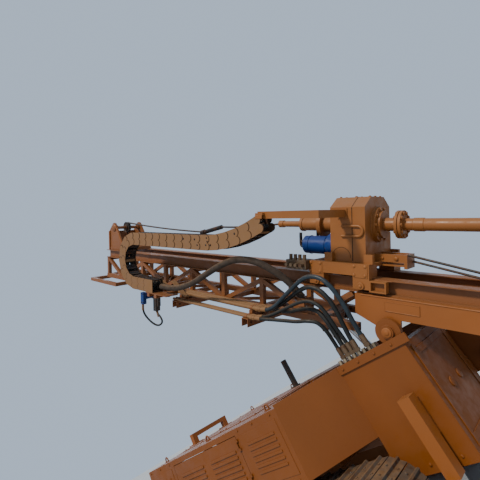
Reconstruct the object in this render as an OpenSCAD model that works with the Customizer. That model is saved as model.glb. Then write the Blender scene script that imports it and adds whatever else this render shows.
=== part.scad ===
// Crawler rotary drilling rig: a rotary head runs along a lattice mast that
// pivots on the narrow nose of a tracked carrier. The mast is stored part way up.
// +X is forward (towards the drill string), +Y is the operator's side, +Z is up.
// Mast pieces are drawn in mast places: a runs up to the crown, b stands off the
// rails towards the head, and both start at the tilt pins. Carrier pieces are
// drawn with x running back from the tilt pins and z up from the ground.

/* [Mast] */
// Angle of the mast above the level in degrees
mast_angle = 37; // [25:1:50]
// Height of the tilt pins above the ground
pivot_z = 1550; // [1500:1:1650]
// Reach of the mast from the tilt pins to its top end
mast_top = 5734; // [5600:1:6000]
// Reach of the rails below the tilt pins
foot_reach = 1400; // [1380:1:1420]
// Height and width of the wide-flange guide rails
rail_size = 150; // [140:1:160]
// Thickness of a rail's flanges
rail_flange = 10; // [8:1:12]
// Thickness of a rail's web
rail_web = 8; // [6:1:10]
// Half distance between the rails' outer edges
rail_out = 350; // [340:1:355]
// Height of the rails' underside above the tilt pins
rail_under = 306; // [300:1:320]
// Square tube of the lower chords
chord_size = 80; // [70:1:90]
// Depth of the lower chords' underside below the tilt pins
chord_drop = 100; // [90:1:110]
// Place where the lower chords start above the tilt pins
chord_start = 350; // [330:1:400]
// Square tube of the posts and braces
brace_size = 60; // [50:1:70]
// Place of the lowest post
post_first = 934; // [900:1:960]
// Distance from post to post
post_pitch = 700; // [690:1:710]
// Number of posts on a side
post_count = 7; // [6:1:7]

/* [Mast foot] */
// Half width of the box that stiffens the foot
box_half = 400; // [390:1:405]
// Plate thickness of the foot box and the cylinder lugs
box_plate = 30; // [20:1:32]
// Distance from the tilt pins to the underside of the foot box
box_under = 104; // [102:1:110]
// Radius of the tilt pins
pivot_pin_r = 45; // [35:1:50]
// Radius of the mast's hubs round the tilt pins
pivot_hub_r = 95; // [80:1:98]
// Length of the foot clamp along the mast
clamp_length = 380; // [300:1:390]
// Height of the foot clamp's guards above the rails
clamp_height = 640; // [600:1:680]
// Half width of the foot clamp
clamp_half = 300; // [280:1:320]

/* [Crown] */
// Radius of the crown sheave
sheave_r = 110; // [100:1:140]
// Width of the crown sheave
sheave_w = 70; // [60:1:90]
// Distance from the mast's top end down to the crown sheave's axle
sheave_inset = 204; // [130:1:280]
// Height of the crown sheave's axle above the tilt pins
sheave_b = 900; // [880:1:980]
// Thickness of the crown's side plates
crown_plate = 16; // [12:1:20]
// Half width of the square tube frame under the crown
crown_half = 600; // [560:1:640]
// Length of the frame under the crown
crown_frame = 1030; // [950:1:1100]
// Part of the crown's frame that stands beyond the mast's end
crown_overhang = 206; // [180:1:260]

/* [Head] */
// Height of the spindle's axis above the tilt pins
spindle_b = 981; // [970:1:1000]
// Place of the gearbox's front face along the mast
gearbox_front = 264; // [250:1:280]
// Length of the gearbox
gearbox_length = 390; // [370:1:410]
// Half width of the gearbox
gearbox_half = 320; // [300:1:330]
// Height of the gearbox's underside above the tilt pins
gearbox_under = 600; // [590:1:610]
// Height of the gearbox
gearbox_height = 678; // [640:1:700]
// Width taken off the gearbox's upper corners
gearbox_corner_w = 155; // [120:1:180]
// Height taken off the gearbox's upper corners
gearbox_corner_h = 107; // [80:1:120]
// Thickness of the carriage's base plate
base_plate = 40; // [30:1:45]
// Length of the carriage
carriage_length = 670; // [660:1:680]
// Running clearance between the carriage's shoes and the rails
shoe_gap = 0.8; // [0.5:0.1:1.5]
// Radius of the drill pipe
pipe_r = 63.5; // [50:0.5:76]
// Reach of the drill pipe below the tilt pins
pipe_reach = 1450; // [1420:1:1500]
// Radius of the coupling flanges
flange_r = 145; // [130:1:160]
// Radius of the bolted hub on the gearbox's front face
hub_r = 190; // [170:1:200]
// Radius of the head's hydraulic motors
motor_r = 112; // [100:1:120]
// Length of the head's hydraulic motors
motor_length = 386; // [350:1:400]

/* [Energy chain] */
// Place of the chain's middle outboard of the mast
chain_y = 800; // [780:1:820]
// Width of the chain
chain_w = 200; // [180:1:210]
// Height of a chain link's side plate
link_h = 190; // [170:1:205]
// Distance from pin to pin
link_pitch = 176; // [174:1:178]
// Radius of the chain's bend
chain_r = 343; // [335:1:350]
// Thickness of a chain link's side plate
link_plate = 8; // [6:1:10]

/* [Tilt cylinders] */
// Half distance between the two tilt cylinders
cyl_y = 170; // [165:1:175]
// Radius of the cylinder barrels
barrel_r = 68; // [60:1:72]
// Radius of the cylinder rods
rod_r = 40; // [34:1:45]
// Length of the cylinder barrels from their lower pin
barrel_length = 930; // [925:1:960]
// Distance of the cylinders' lower pin behind the tilt pins
cyl_foot_x = 300; // [290:1:310]
// Height of the cylinders' lower pin above the ground
cyl_foot_z = 550; // [530:1:570]
// Place of the cylinders' upper pin along the mast
cyl_eye_a = 800; // [780:1:820]
// Depth of the cylinders' upper pin below the tilt pins' level
cyl_eye_b = 180; // [170:1:190]
// Radius of the cylinder eyes
eye_r = 48; // [44:1:52]
// Radius of the cylinder pins
cyl_pin_r = 22; // [18:1:26]

/* [Carrier] */
// Half width of the nose that carries the mast
nose_half = 500; // [490:1:505]
// Distance of the nose's front face ahead of the tilt pins
nose_front = 85; // [80:1:90]
// Length of the nose behind the tilt pins
nose_back = 674; // [660:1:700]
// Height of the nose's top plate above the ground
nose_top = 1410; // [1400:1:1415]
// Height of the nose's underside above the ground
nose_under = 430; // [420:1:450]
// Height of the lip bar round the nose and the deck
lip_height = 80; // [70:1:90]
// Thickness of the lip bar
lip_width = 20; // [15:1:25]
// Plate thickness of the nose
nose_plate = 40; // [30:1:45]
// Distance behind the tilt pins where the engine house starts
house_start = 1165; // [1150:1:1180]
// Reach of the engine house behind the tracks
house_overhang = 400; // [350:1:450]
// Half width of the engine house
house_half = 1080; // [1060:1:1082]
// Height of the engine house's floor above the ground
house_floor = 810; // [805:1:830]
// Height of the engine house's roof above the ground
house_top = 1460; // [1440:1:1480]
// Wall thickness of the engine house and its doors
wall = 30; // [24:1:34]
// Distance behind the tilt pins where the doors start
door_start = 1900; // [1850:1:1950]
// Length of a door
door_length = 1400; // [1300:1:1450]
// Height of a door
door_height = 520; // [500:1:540]
// Clearance round a door
door_gap = 6; // [6:1:8]

/* [Tracks] */
// Distance behind the tilt pins where the tracks start
track_start = 300; // [290:1:310]
// Overall length of a track
track_length = 3300; // [3200:1:3350]
// Height of a track over its grousers
track_height = 720; // [710:1:725]
// Distance between the tracks' middles
gauge = 1750; // [1740:1:1755]
// Width of the track shoes
shoe_width = 420; // [400:1:430]
// Distance from shoe to shoe
shoe_pitch = 160; // [155:1:170]
// Height of a shoe's grouser
grouser = 22; // [18:1:26]
// Thickness of the shoes and the links under them
band = 62; // [56:1:66]
// Number of track rollers on a side
roller_count = 6; // [5:1:6]

/* [Jacks] */
// Side of a jack's square sleeve
sleeve_size = 120; // [110:1:130]
// Wall of a jack's sleeve
sleeve_wall = 10; // [8:1:12]
// Clearance between a jack's leg and its sleeve
leg_gap = 0.5; // [0.4:0.1:1]
// Radius of a jack's foot
jack_foot_r = 140; // [120:1:150]
// Height of the jack feet above the ground when raised
jack_clear = 250; // [200:1:280]

/* [Hidden] */
$fn = 48;
// Clearance between seated pieces of different bodies
seat = 0.3;
// Running clearance round a pin
pin_gap = 0.5;
// Overlap that joins touching shapes of one solid
bite = 1;

// Rails and lattice
rail_top = rail_under + rail_size;
rail_mid = rail_out - rail_size / 2;
chord_y = rail_out - chord_size / 2;
chord_mid_b = chord_size / 2 - chord_drop;
frame_end = mast_top + crown_overhang;
sheave_a = mast_top - sheave_inset;
crown_tube = 60;

// Whole rig: the origin is under the middle of its length
clamp_top = rail_top + clamp_height;
rear_reach = frame_end * cos(mast_angle) + (chord_drop + crown_tube) * sin(mast_angle);
front_reach = pipe_reach * cos(mast_angle) + (spindle_b + pipe_r) * sin(mast_angle);
pivot_x = (rear_reach - front_reach) / 2;

// Head
gearbox_back = gearbox_front + gearbox_length;
gearbox_top = gearbox_under + gearbox_height;
base_top = gearbox_under;
base_under = base_top - base_plate;
carriage_start = 190;
carriage_end = carriage_start + carriage_length;
shoe_top = rail_top + shoe_gap;
shoe_side = rail_out + shoe_gap;
guide_half = shoe_side + 70;
lip_top = rail_top - rail_flange - shoe_gap;
lip_in = rail_mid + rail_web / 2 + shoe_gap + 10;
motor_y = 190;
motor_b = 750;
shaft_end = -10;
shaft_depth = 90;
shaft_r = pipe_r + 6;

// Tilt cylinders in the carrier's places, with z from the tilt pins
eye_x = cyl_eye_a * cos(mast_angle) + cyl_eye_b * sin(mast_angle);
eye_z = pivot_z + cyl_eye_a * sin(mast_angle) - cyl_eye_b * cos(mast_angle);
cyl_slope = atan2(eye_z - cyl_foot_z, eye_x - cyl_foot_x);
rod_start = 390;
cyl_span = sqrt(pow(eye_z - cyl_foot_z, 2) + pow(eye_x - cyl_foot_x, 2));
eye_half = 45;
lug_plate = 22;

// Carrier
nose_inner = nose_half - nose_plate;
lug_half = box_half + 20;
lug_out = lug_half + 50;
lip_z = nose_top;
house_end = track_start + track_length + house_overhang;
well_half = 420;
well_end = 1900;

// Tracks
track_y = gauge / 2;
end_r = track_height / 2;
tread_r = end_r - grouser;
wheel_r = tread_r - band - seat;
axle_front = track_start + end_r;
axle_back = track_start + track_length - end_r;
axle_span = axle_back - axle_front;

module on_mast() {
    translate([pivot_x, 0, pivot_z])
        rotate([0, mast_angle, 0])
            mirror([1, 0, 0])
                children();
}

module on_carrier() {
    translate([pivot_x, 0, 0])
        mirror([1, 0, 0])
            children();
}

// Box from its low corner to its high corner
module block(low, high) {
    translate(low)
        cube([high[0] - low[0], high[1] - low[1], high[2] - low[2]]);
}

// Copies on the near side and on the far side
module both_sides() {
    children();
    mirror([0, 1, 0])
        children();
}

// Round bar along y, from y0 to y1
module rod_y(x, z, r, y0, y1) {
    translate([x, y0, z])
        rotate([-90, 0, 0])
            cylinder(r = r, h = y1 - y0);
}

// Round bar along the mast or the carrier's length, from x0 to x1
module rod_x(y, z, r, x0, x1) {
    translate([x0, y, z])
        rotate([0, 90, 0])
            cylinder(r = r, h = x1 - x0);
}

// Square bar in a side plane, between two points [x, z]
module side_bar(p, q, y, size) {
    run = [q[0] - p[0], q[1] - p[1]];
    translate([p[0], y, p[1]])
        rotate([0, -atan2(run[1], run[0]), 0])
            translate([0, -size / 2, -size / 2])
                cube([norm(run), size, size]);
}

// Outline in the side plane, from y0 to y1
module side_plate(points, y0, y1) {
    translate([0, y1, 0])
        rotate([90, 0, 0])
            linear_extrude(height = y1 - y0)
                polygon(points);
}

// Outline across the mast or the carrier, from x0 to x1
module cross_profile(points, x0, x1) {
    translate([x0, 0, 0])
        rotate([90, 0, 90])
            linear_extrude(height = x1 - x0)
                polygon(points);
}

module rail_profile() {
    for (level = [rail_under, rail_top - rail_flange])
        translate([rail_out - rail_size, level])
            square([rail_size, rail_flange]);
    translate([rail_mid - rail_web / 2, rail_under])
        square([rail_web, rail_size]);
}

// Brace nodes of one side: [place along the mast, is at the top]
function brace_nodes() = concat(
    [[chord_start + brace_size, true]],
    [for (i = [0 : post_count - 1]) [post_first + i * post_pitch, i % 2 == 1]],
    [[mast_top - brace_size / 2, true]]);
function brace_level(top) = top ? rail_under - brace_size / 3 : chord_mid_b;

posts = [for (i = [0 : post_count - 1]) post_first + i * post_pitch];
post_places = concat(posts, [mast_top - brace_size / 2]);
bar_half = chord_y - brace_size / 2 - seat;

module mast_rails() {
    color("peru")
        on_mast()
            both_sides()
                translate([-foot_reach, 0, 0])
                    rotate([90, 0, 90])
                        linear_extrude(height = foot_reach + mast_top)
                            rail_profile();
}

// Chord, posts and braces of one side
module lattice() {
    nodes = brace_nodes();
    block([chord_start, chord_y - chord_size / 2, -chord_drop],
        [mast_top, chord_y + chord_size / 2, chord_size - chord_drop]);
    for (a = post_places)
        block([a - brace_size / 2, chord_y - brace_size / 2, chord_mid_b],
            [a + brace_size / 2, chord_y + brace_size / 2, rail_under - seat]);
    intersection() {
        union()
            for (i = [0 : len(nodes) - 2])
                side_bar([nodes[i][0], brace_level(nodes[i][1])],
                    [nodes[i + 1][0], brace_level(nodes[i + 1][1])], chord_y, brace_size - 4);
        block([0, 0, -chord_drop], [mast_top, rail_out, rail_under - seat]);
    }
}

module mast_lattice() {
    color("peru")
        on_mast()
            both_sides()
                lattice();
}

// Bars from side to side, at the posts, and flat diagonals between the lower ones
module mast_crossbars() {
    diagonal = 40;
    inner = chord_y - chord_size / 2 - seat;
    color("peru")
        on_mast() {
            for (a = post_places) {
                block([a - brace_size / 2, -inner, chord_mid_b - brace_size / 2],
                    [a + brace_size / 2, inner, chord_mid_b + brace_size / 2]);
                block([a - brace_size / 2, -bar_half, rail_under - brace_size - seat],
                    [a + brace_size / 2, bar_half, rail_under - seat]);
            }
            for (i = [0 : post_count - 2]) {
                side = i % 2 == 0 ? -1 : 1;
                translate([0, 0, chord_mid_b - diagonal / 2])
                    linear_extrude(height = diagonal)
                        polygon([[posts[i] + brace_size / 2 + seat, side * inner],
                            [posts[i] + brace_size / 2 + seat + diagonal, side * inner],
                            [posts[i + 1] - brace_size / 2 - seat, -side * inner],
                            [posts[i + 1] - brace_size / 2 - seat - diagonal, -side * inner]]);
            }
        }
}

// Plate between the lower chords with two pairs of lugs for the tilt cylinders
module cylinder_bracket() {
    reach = 65;
    inner = chord_y - chord_size / 2 - seat;
    color("peru")
        on_mast() {
            block([cyl_eye_a - reach, -inner, -60], [cyl_eye_a + reach, inner, -20]);
            both_sides()
                for (y = [cyl_y - eye_half - lug_plate - seat, cyl_y + eye_half + seat])
                    side_plate([[cyl_eye_a - reach, -60 + bite], [cyl_eye_a - 45, -cyl_eye_b],
                        [cyl_eye_a - 20, -cyl_eye_b - 42], [cyl_eye_a + 20, -cyl_eye_b - 42],
                        [cyl_eye_a + 45, -cyl_eye_b], [cyl_eye_a + reach, -60 + bite]], y,
                        y + lug_plate);
        }
}

module mast_foot() {
    hub_in = box_half - box_plate;
    color("chocolate")
        on_mast()
            difference() {
                union() {
                    for (level = [box_under, rail_under - box_plate - seat])
                        block([-foot_reach + 100, -box_half, level],
                            [chord_start - seat, box_half, level + box_plate]);
                    both_sides() {
                        block([-foot_reach + 100, hub_in, box_under],
                            [chord_start - seat, box_half, rail_under - seat]);
                        side_plate([[-pivot_hub_r, box_under + bite], [-pivot_hub_r, 0], [pivot_hub_r,
                            0],
                            [chord_start - seat, box_under + bite]], hub_in, box_half);
                        rod_y(0, 0, pivot_hub_r, hub_in, box_half);
                        rod_y(0, 0, pivot_hub_r - 20, hub_in - 60, hub_in + bite);
                    }
                    for (a = [-foot_reach + 100, -600, -pivot_hub_r, chord_start - box_plate - seat])
                        block([a, -box_half + bite, box_under + bite],
                            [a + box_plate, box_half - bite, rail_under - seat - bite]);
                    block([-foot_reach, -rail_out, box_under],
                        [-foot_reach + 100 + bite, rail_out, rail_under - seat]);
                }
                both_sides()
                    rod_y(0, 0, pivot_pin_r + pin_gap, hub_in - 60 - bite, box_half + bite);
            }
}

module crown_side() {
    side_plate([[mast_top - 634, rail_top + seat], [mast_top, rail_top + seat], [mast_top,
        sheave_b - 60],
        [sheave_a + sheave_r - 30, sheave_b + 60], [sheave_a - 60, sheave_b + 90]],
        rail_mid - crown_plate / 2, rail_mid + crown_plate / 2);
    rod_y(sheave_a, sheave_b, sheave_r - 10, rail_mid - crown_plate / 2, rail_mid + crown_plate / 2);
}

module mast_crown() {
    half = crown_half;
    frame_start = frame_end - crown_frame;
    axle_r = 30;
    color("chocolate")
        on_mast() {
            both_sides()
                crown_side();
            rod_y(sheave_a, sheave_b, axle_r, -rail_mid, rail_mid);
            for (side = [-1, 1])
                rod_y(sheave_a, sheave_b, axle_r + 20, side * (rail_mid - 30) - 25,
                    side * (rail_mid - 30) + 25);
            block([mast_top - 50, -rail_mid, rail_top + 80], [mast_top - 20, rail_mid, sheave_b - 70]);
            block([mast_top - 620, -rail_mid, rail_top + seat],
                [mast_top - 520, rail_mid, rail_top + 60]);
        }
    color("chocolate")
        on_mast() {
            both_sides()
                block([frame_start, half - crown_tube, -chord_drop - crown_tube - seat],
                    [frame_end, half, -chord_drop - seat]);
            for (a = [frame_start, frame_end - crown_tube])
                block([a, -half + crown_tube + seat, -chord_drop - crown_tube - seat],
                    [a + crown_tube, half - crown_tube - seat, -chord_drop - seat]);
        }
}

module crown_sheave() {
    groove = 22;
    color("dimgray")
        on_mast()
            translate([sheave_a, 0, sheave_b])
                rotate([90, 0, 0])
                    rotate_extrude($fn = 64)
                        polygon([[30 + pin_gap, -sheave_w / 2], [60, -sheave_w / 2], [60, -12],
                            [sheave_r - groove - 20, -12], [sheave_r, -sheave_w / 2 + 8],
                            [sheave_r - groove, 0],
                            [sheave_r, sheave_w / 2 - 8], [sheave_r - groove - 20, 12], [60, 12],
                            [60, sheave_w / 2], [30 + pin_gap, sheave_w / 2]]);
}

// Foot clamp: a cradle on the rails that the drill pipe runs through
module foot_clamp() {
    a0 = -foot_reach;
    a1 = -foot_reach + clamp_length;
    guide_r = pipe_r + 30;
    color("chocolate")
        on_mast()
            difference() {
                union() {
                    block([a0, -rail_out, rail_top + seat], [a1, rail_out, rail_top + 40]);
                    for (a = [a0, a1 - 40])
                        cross_profile([[-clamp_half, rail_top + 40 - bite], [clamp_half,
                            rail_top + 40 - bite],
                            [clamp_half, spindle_b + 60], [clamp_half - 120, clamp_top],
                            [-clamp_half + 120, clamp_top], [-clamp_half, spindle_b + 60]], a, a + 40);
                    both_sides()
                        block([a0 + 40 - bite, clamp_half - 60, rail_top + 40 - bite],
                            [a1 - 40 + bite, clamp_half, spindle_b - 120]);
                    both_sides()
                        block([a0 + 40 - bite, clamp_half - 60, spindle_b + 80],
                            [a1 - 40 + bite, clamp_half - 20, spindle_b + 110]);
                }
                rod_x(0, spindle_b, guide_r, a0 - bite, a1 + bite);
            }
}

module clamp_jaw() {
    a0 = -foot_reach + 40 + seat;
    a1 = -foot_reach + clamp_length - 40 - seat;
    jaw_y0 = -pipe_r - 110;
    difference() {
        union() {
            block([a0, jaw_y0, spindle_b - 75], [a1, -30, spindle_b + 75]);
            rod_y((a0 + a1) / 2, spindle_b, 45, -clamp_half + 20, jaw_y0 + bite);
        }
        rod_x(0, spindle_b, pipe_r + 6, a0 - bite, a1 + bite);
    }
}

module clamp_jaw_near() {
    color("gray")
        on_mast()
            clamp_jaw();
}

module clamp_jaw_far() {
    color("gray")
        on_mast()
            mirror([0, 1, 0])
                clamp_jaw();
}

// Service winch under the mast near its crown
winch_inset = 1434;
winch_a = mast_top - winch_inset;
winch_b = -chord_drop - 190;
drum_r = 85;
drum_half = 130;
winch_shaft_r = 25;

module winch_frame() {
    inner = drum_half + 10;
    color("chocolate")
        on_mast()
            difference() {
                union() {
                    block([winch_a - 160, -chord_y - 40, -chord_drop - 20 - seat],
                        [winch_a + 160, chord_y + 40, -chord_drop - seat]);
                    both_sides()
                        side_plate([[winch_a - 140, -chord_drop - 20], [winch_a - 60, winch_b - 60],
                            [winch_a + 60, winch_b - 60],
                            [winch_a + 140, -chord_drop - 20]], inner, inner + 20);
                }
                rod_y(winch_a, winch_b, winch_shaft_r + pin_gap, -inner - 30, inner + 30);
            }
}

module winch_drum() {
    color("dimgray")
        on_mast() {
            rod_y(winch_a, winch_b, drum_r - 30, -drum_half, drum_half);
            for (y = [-drum_half, drum_half - 12])
                rod_y(winch_a, winch_b, drum_r + 20, y, y + 12);
            rod_y(winch_a, winch_b, winch_shaft_r, -drum_half - 28, drum_half + 28);
        }
}

port_drop = 130;

module winch_motor() {
    y0 = -drum_half - 30 - seat;
    color("steelblue")
        on_mast() {
            rod_y(winch_a, winch_b, 70, y0 - 60, y0);
            rod_y(winch_a, winch_b, 52, y0 - 210, y0 - 60 + bite);
            block([winch_a - 45, y0 - 270, winch_b - port_drop],
                [winch_a + 45, y0 - 210 + bite, winch_b + 70]);
        }
}

// Valve block that hangs from the winch's near side plate
module winch_valve() {
    color("dimgray")
        on_mast() {
            block([valve_a - 40, valve_y - 45, valve_b], [valve_a + 40, -drum_half - 30 - seat, -200]);
            block([valve_a - 80, valve_y - 30, -470], [valve_a - 40 + bite, valve_y + 30, -330]);
        }
}

// Hard tubes along the near side: [distance out, height, radius, lower end] in mast places
channel_places = [1634, 3034];
channel_half = 50;
channel_out = 660;
channel_top = -chord_drop - 30;
channel_height = 100;
channel_wall = 8;
tube_end = 3100;
upper_b = -30;
upper_start = 1520;
lower_b = channel_top + 19 + seat;
lower_start = 1530;
upper_tubes = [[-400, upper_b, 25, upper_start], [-460, upper_b, 25, upper_start], [-520, upper_b, 25,
    upper_start]];
lower_tubes = [[-575, lower_b, 19, lower_start], [-625, lower_b, 19, lower_start]];

// Cross channels under the chords, with the blocks that clamp the tubes, and the
// block on the lowest post that holds the end of the chain's sleeve
module tube_channels() {
    color("chocolate")
        on_mast()
            for (a = channel_places) {
                difference() {
                    block([a - channel_half, -channel_out, channel_top - channel_height],
                        [a + channel_half, 420, channel_top]);
                    block([a - channel_half + channel_wall, -channel_out - bite,
                        channel_top - channel_height - bite],
                        [a + channel_half - channel_wall, 420 + bite, channel_top - channel_wall]);
                }
                both_sides()
                    block([a - 40, chord_y - 30, channel_top - bite],
                        [a + 40, chord_y + 30, -chord_drop - seat]);
                block([a - 25, -550, channel_top - bite], [a + 25, -375, upper_b - 25 - seat]);
            }
    color("chocolate")
        on_mast()
            block([post_first - 30, -480, clamp_b - 90],
                [post_first + 60, -chord_y - brace_size / 2 - seat, clamp_b]);
}

module hard_tubes() {
    color("chocolate")
        on_mast()
            for (tube = concat(upper_tubes, lower_tubes)) {
                rod_x(tube[0], tube[1], tube[2], tube[3], tube_end);
                rod_x(tube[0], tube[1], tube[2] + 9, tube[3], tube[3] + 45);
            }
}

// Tray that carries the fixed end of the energy chain
tray_start = 2900;
tray_end = 3420;

module chain_tray() {
    color("chocolate")
        on_mast() {
            for (a = [tray_start + 240, tray_end - 100])
                block([a, -chain_y - chain_w / 2, tray_b - 60 - seat],
                    [a + 60, -rail_out - seat, tray_b - 8]);
            block([tray_start, -chain_y - chain_w / 2, tray_b - 10 - seat],
                [tray_end, -chain_y + chain_w / 2, tray_b - seat]);
        }
}

// Half the gap between a link and the next but one
link_inset = 5;

// Energy chain: pins stand along this line, in mast places, from the head's arm
// over the loop to the tray
chain_top = 775;
chain_low = chain_top - 2 * chain_r;
tray_b = chain_low - link_h / 2;
loop_a = 3770;
chain_droop_end = 2100;
chain_arm_a = 1185;
chain_arm_b = 1010;
chain_bottom_end = 3200;
droop_length = norm([chain_droop_end - chain_arm_a, chain_arm_b - chain_top]) * 1.01;
top_length = loop_a - chain_droop_end;
turn_length = PI * chain_r;
bottom_length = loop_a - chain_bottom_end;
chain_length = droop_length + top_length + turn_length + bottom_length;
link_count = floor(chain_length / link_pitch);

function droop_at(t) = [chain_arm_a + (chain_droop_end - chain_arm_a) * t,
    chain_top + (chain_arm_b - chain_top) * (1 - t) * (1 - t)];
function chain_at(s) =
    s < droop_length ? droop_at(s / droop_length)
    : s < droop_length + top_length ? [chain_droop_end + s - droop_length, chain_top]
    : s < droop_length + top_length + turn_length ?
        let (turn = (s - droop_length - top_length) / chain_r * 180 / PI)
        [loop_a + chain_r * sin(turn), chain_top - chain_r + chain_r * cos(turn)]
    : [loop_a - (s - droop_length - top_length - turn_length), chain_low];

// Side of a link between two pins: its round ends stop short of the next but one
module link_side(length, r) {
    end = r + link_inset - link_pitch / 2;
    rotate([90, 0, 0])
        linear_extrude(height = link_plate)
            union() {
                translate([end, 0])
                    circle(r = r);
                translate([length - end, 0])
                    circle(r = r);
                translate([end, -r])
                    square([length - 2 * end, 2 * r]);
            }
}

// Links one after the other: every second one has its sides outside its neighbours'
module energy_chain() {
    pins = [for (i = [0 : link_count]) chain_at(i * link_pitch)];
    r = link_h / 2;
    color("tan")
        on_mast()
            for (i = [0 : link_count - 1]) {
                run = pins[i + 1] - pins[i];
                outer = chain_w / 2 - (i % 2) * (link_plate + seat);
                translate([pins[i][0], -chain_y, pins[i][1]])
                    rotate([0, -atan2(run[1], run[0]), 0]) {
                        translate([0, -outer + link_plate, 0])
                            link_side(norm(run), r);
                        translate([0, outer, 0])
                            link_side(norm(run), r);
                        for (z = [-r + 6, r - 18])
                            block([norm(run) / 2 - 25, -outer + link_plate - bite, z],
                                [norm(run) / 2 + 25, outer - link_plate + bite, z + 12]);
                    }
            }
}

shoe_length = 170;
nose_box_length = 162;
nose_box_under = 335;
nose_box_height = 110;
nose_box_wall = 14;

// Open box ahead of the front shoe, with no outer wall
module nose_box() {
    low = [carriage_start - nose_box_length, shoe_side, nose_box_under];
    high = [carriage_start + bite, guide_half, nose_box_under + nose_box_height];
    difference() {
        block(low, high);
        block([low[0] + nose_box_wall, low[1] + nose_box_wall, low[2] + nose_box_wall],
            [high[0] - bite - nose_box_wall, high[1] + bite, high[2] - nose_box_wall]);
    }
}

// Guide shoe that wraps one rail's outer flange
module guide_shoe(a0, a1) {
    block([a0, lip_in - 60, shoe_top], [a1, guide_half, base_under + bite]);
    block([a0, shoe_side, lip_top - 94], [a1, guide_half, shoe_top + bite]);
    block([a0, lip_in, lip_top - 94], [a1, guide_half, lip_top]);
}

module head_carriage() {
    color("chocolate")
        on_mast() {
            block([carriage_start, -guide_half, base_under], [carriage_end, guide_half, base_top]);
            both_sides() {
                for (place = [carriage_start, carriage_end - shoe_length])
                    guide_shoe(place, place + shoe_length);
                block([carriage_start + bite, shoe_side - 10, base_under - 80],
                    [carriage_end - bite, guide_half - bite, base_under + bite]);
                nose_box();
            }
            both_sides()
                for (place = [gearbox_front - 90, gearbox_back - 40])
                    block([place, gearbox_half + seat, base_top - bite],
                        [place + 90, gearbox_half + 50, base_top + 90]);
        }
}

module head_gearbox() {
    inner = gearbox_half - gearbox_corner_w;
    shoulder = gearbox_top - gearbox_corner_h;
    color("peru")
        on_mast()
            difference() {
                union() {
                    cross_profile([[-gearbox_half, gearbox_under + seat], [gearbox_half,
                        gearbox_under + seat],
                        [gearbox_half, shoulder], [inner, gearbox_top], [-inner, gearbox_top],
                        [-gearbox_half, shoulder]], gearbox_front, gearbox_back);
                    block([gearbox_front + 40, gearbox_half - bite, 650],
                        [gearbox_back - 60, gearbox_half + 125, 880]);
                    rod_x(0, spindle_b, hub_r, gearbox_front - 44, gearbox_front + bite);
                    rod_x(0, spindle_b, hub_r - 45, gearbox_front - 74, gearbox_front - 44 + bite);
                    lifting_loop();
                }
                rod_x(0, spindle_b, shaft_r + pin_gap, gearbox_front - 90, gearbox_front + shaft_depth);
            }
}

// Round bar bent to a lying U on the gearbox's near side
module lifting_loop() {
    bar_r = 14;
    bend_r = 52;
    loop_b = 922;
    bend_a = gearbox_front + 76;
    loop_y = -gearbox_half - bar_r + 3;
    for (b = [loop_b - bend_r, loop_b + bend_r])
        rod_x(loop_y, b, bar_r, bend_a, bend_a + 180);
    translate([bend_a, loop_y, loop_b])
        rotate([90, 0, 0])
            rotate([0, 0, 90])
                rotate_extrude(angle = 180)
                    translate([bend_r, 0])
                        circle(r = bar_r, $fn = 24);
}

module head_motors() {
    color("steelblue")
        on_mast()
            for (y = [-motor_y, motor_y]) {
                rod_x(y, motor_b, motor_r + 20, gearbox_back + seat, gearbox_back + 70);
                rod_x(y, motor_b, motor_r - 10, gearbox_back + 70 - bite, gearbox_back + motor_length);
                block([gearbox_back + motor_length - 80, y - 50, motor_b - 50],
                    [gearbox_back + motor_length + 30, y + 50, motor_b + 50]);
            }
}

module head_swivel() {
    color("chocolate")
        on_mast() {
            rod_x(0, spindle_b, 90, gearbox_back + seat, gearbox_back + 240);
            rod_x(0, spindle_b, 150, gearbox_back + 240 - bite, gearbox_back + 290);
            rod_x(0, spindle_b, 80, gearbox_back + 290 - bite, gearbox_back + 570);
            rod_x(0, spindle_b, 38, gearbox_back + 570 - bite, 1580);
        }
}

module chain_arm() {
    level = 1068;
    color("chocolate")
        on_mast() {
            block([470, -chain_y - 60, level], [550, -gearbox_half - seat, level + 77]);
            block([470, -chain_y - 60, level], [chain_arm_a + 40, -chain_y + 60, level + 77]);
            block([455, -gearbox_half - 12, level - 15], [565, -gearbox_half - seat, level + 92]);
            block([chain_arm_a - 60, -chain_y - chain_w / 2, chain_arm_b + link_h / 2 + seat],
                [chain_arm_a + 40, -chain_y + chain_w / 2, level + 60]);
        }
}

anchor_start = -64;
anchor_half = 110;

// Block behind the gearbox that joins the chain's hoses to the motors
module head_manifold() {
    start = carriage_end + seat;
    fitting = 20;
    color("dimgray")
        on_mast() {
            block([start, -500, base_under - 60], [start + 260, -guide_half + 100, base_top]);
            for (i = [0 : 3])
                rod_y(start + 40 + i * 60, base_top - 50, fitting, -560, -500 + bite);
            for (i = [0 : 3])
                translate([start + 40 + i * 60, -460, base_top - bite])
                    cylinder(r = fitting, h = 60);
        }
}

module rope_anchor() {
    color("chocolate")
        on_mast() {
            for (y = [-anchor_half, anchor_half - 30])
                block([anchor_start, y, base_top + seat], [gearbox_front - seat, y + 30, base_top + 80]);
            block([anchor_start, -anchor_half, base_under - 20],
                [anchor_start + 30, anchor_half, base_top + 80]);
            block([anchor_start, -anchor_half, base_under],
                [carriage_start - seat, anchor_half, base_under + 16]);
        }
}

module spindle() {
    flange = 26;
    flange_gap = 8;
    inner_face = shaft_end + 2 * flange + flange_gap;
    color("chocolate")
        on_mast() {
            rod_x(0, spindle_b, shaft_r, shaft_end, gearbox_front + shaft_depth - 10);
            for (face = [shaft_end + flange, inner_face])
                rod_x(0, spindle_b, flange_r, face - flange, face);
        }
}

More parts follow.
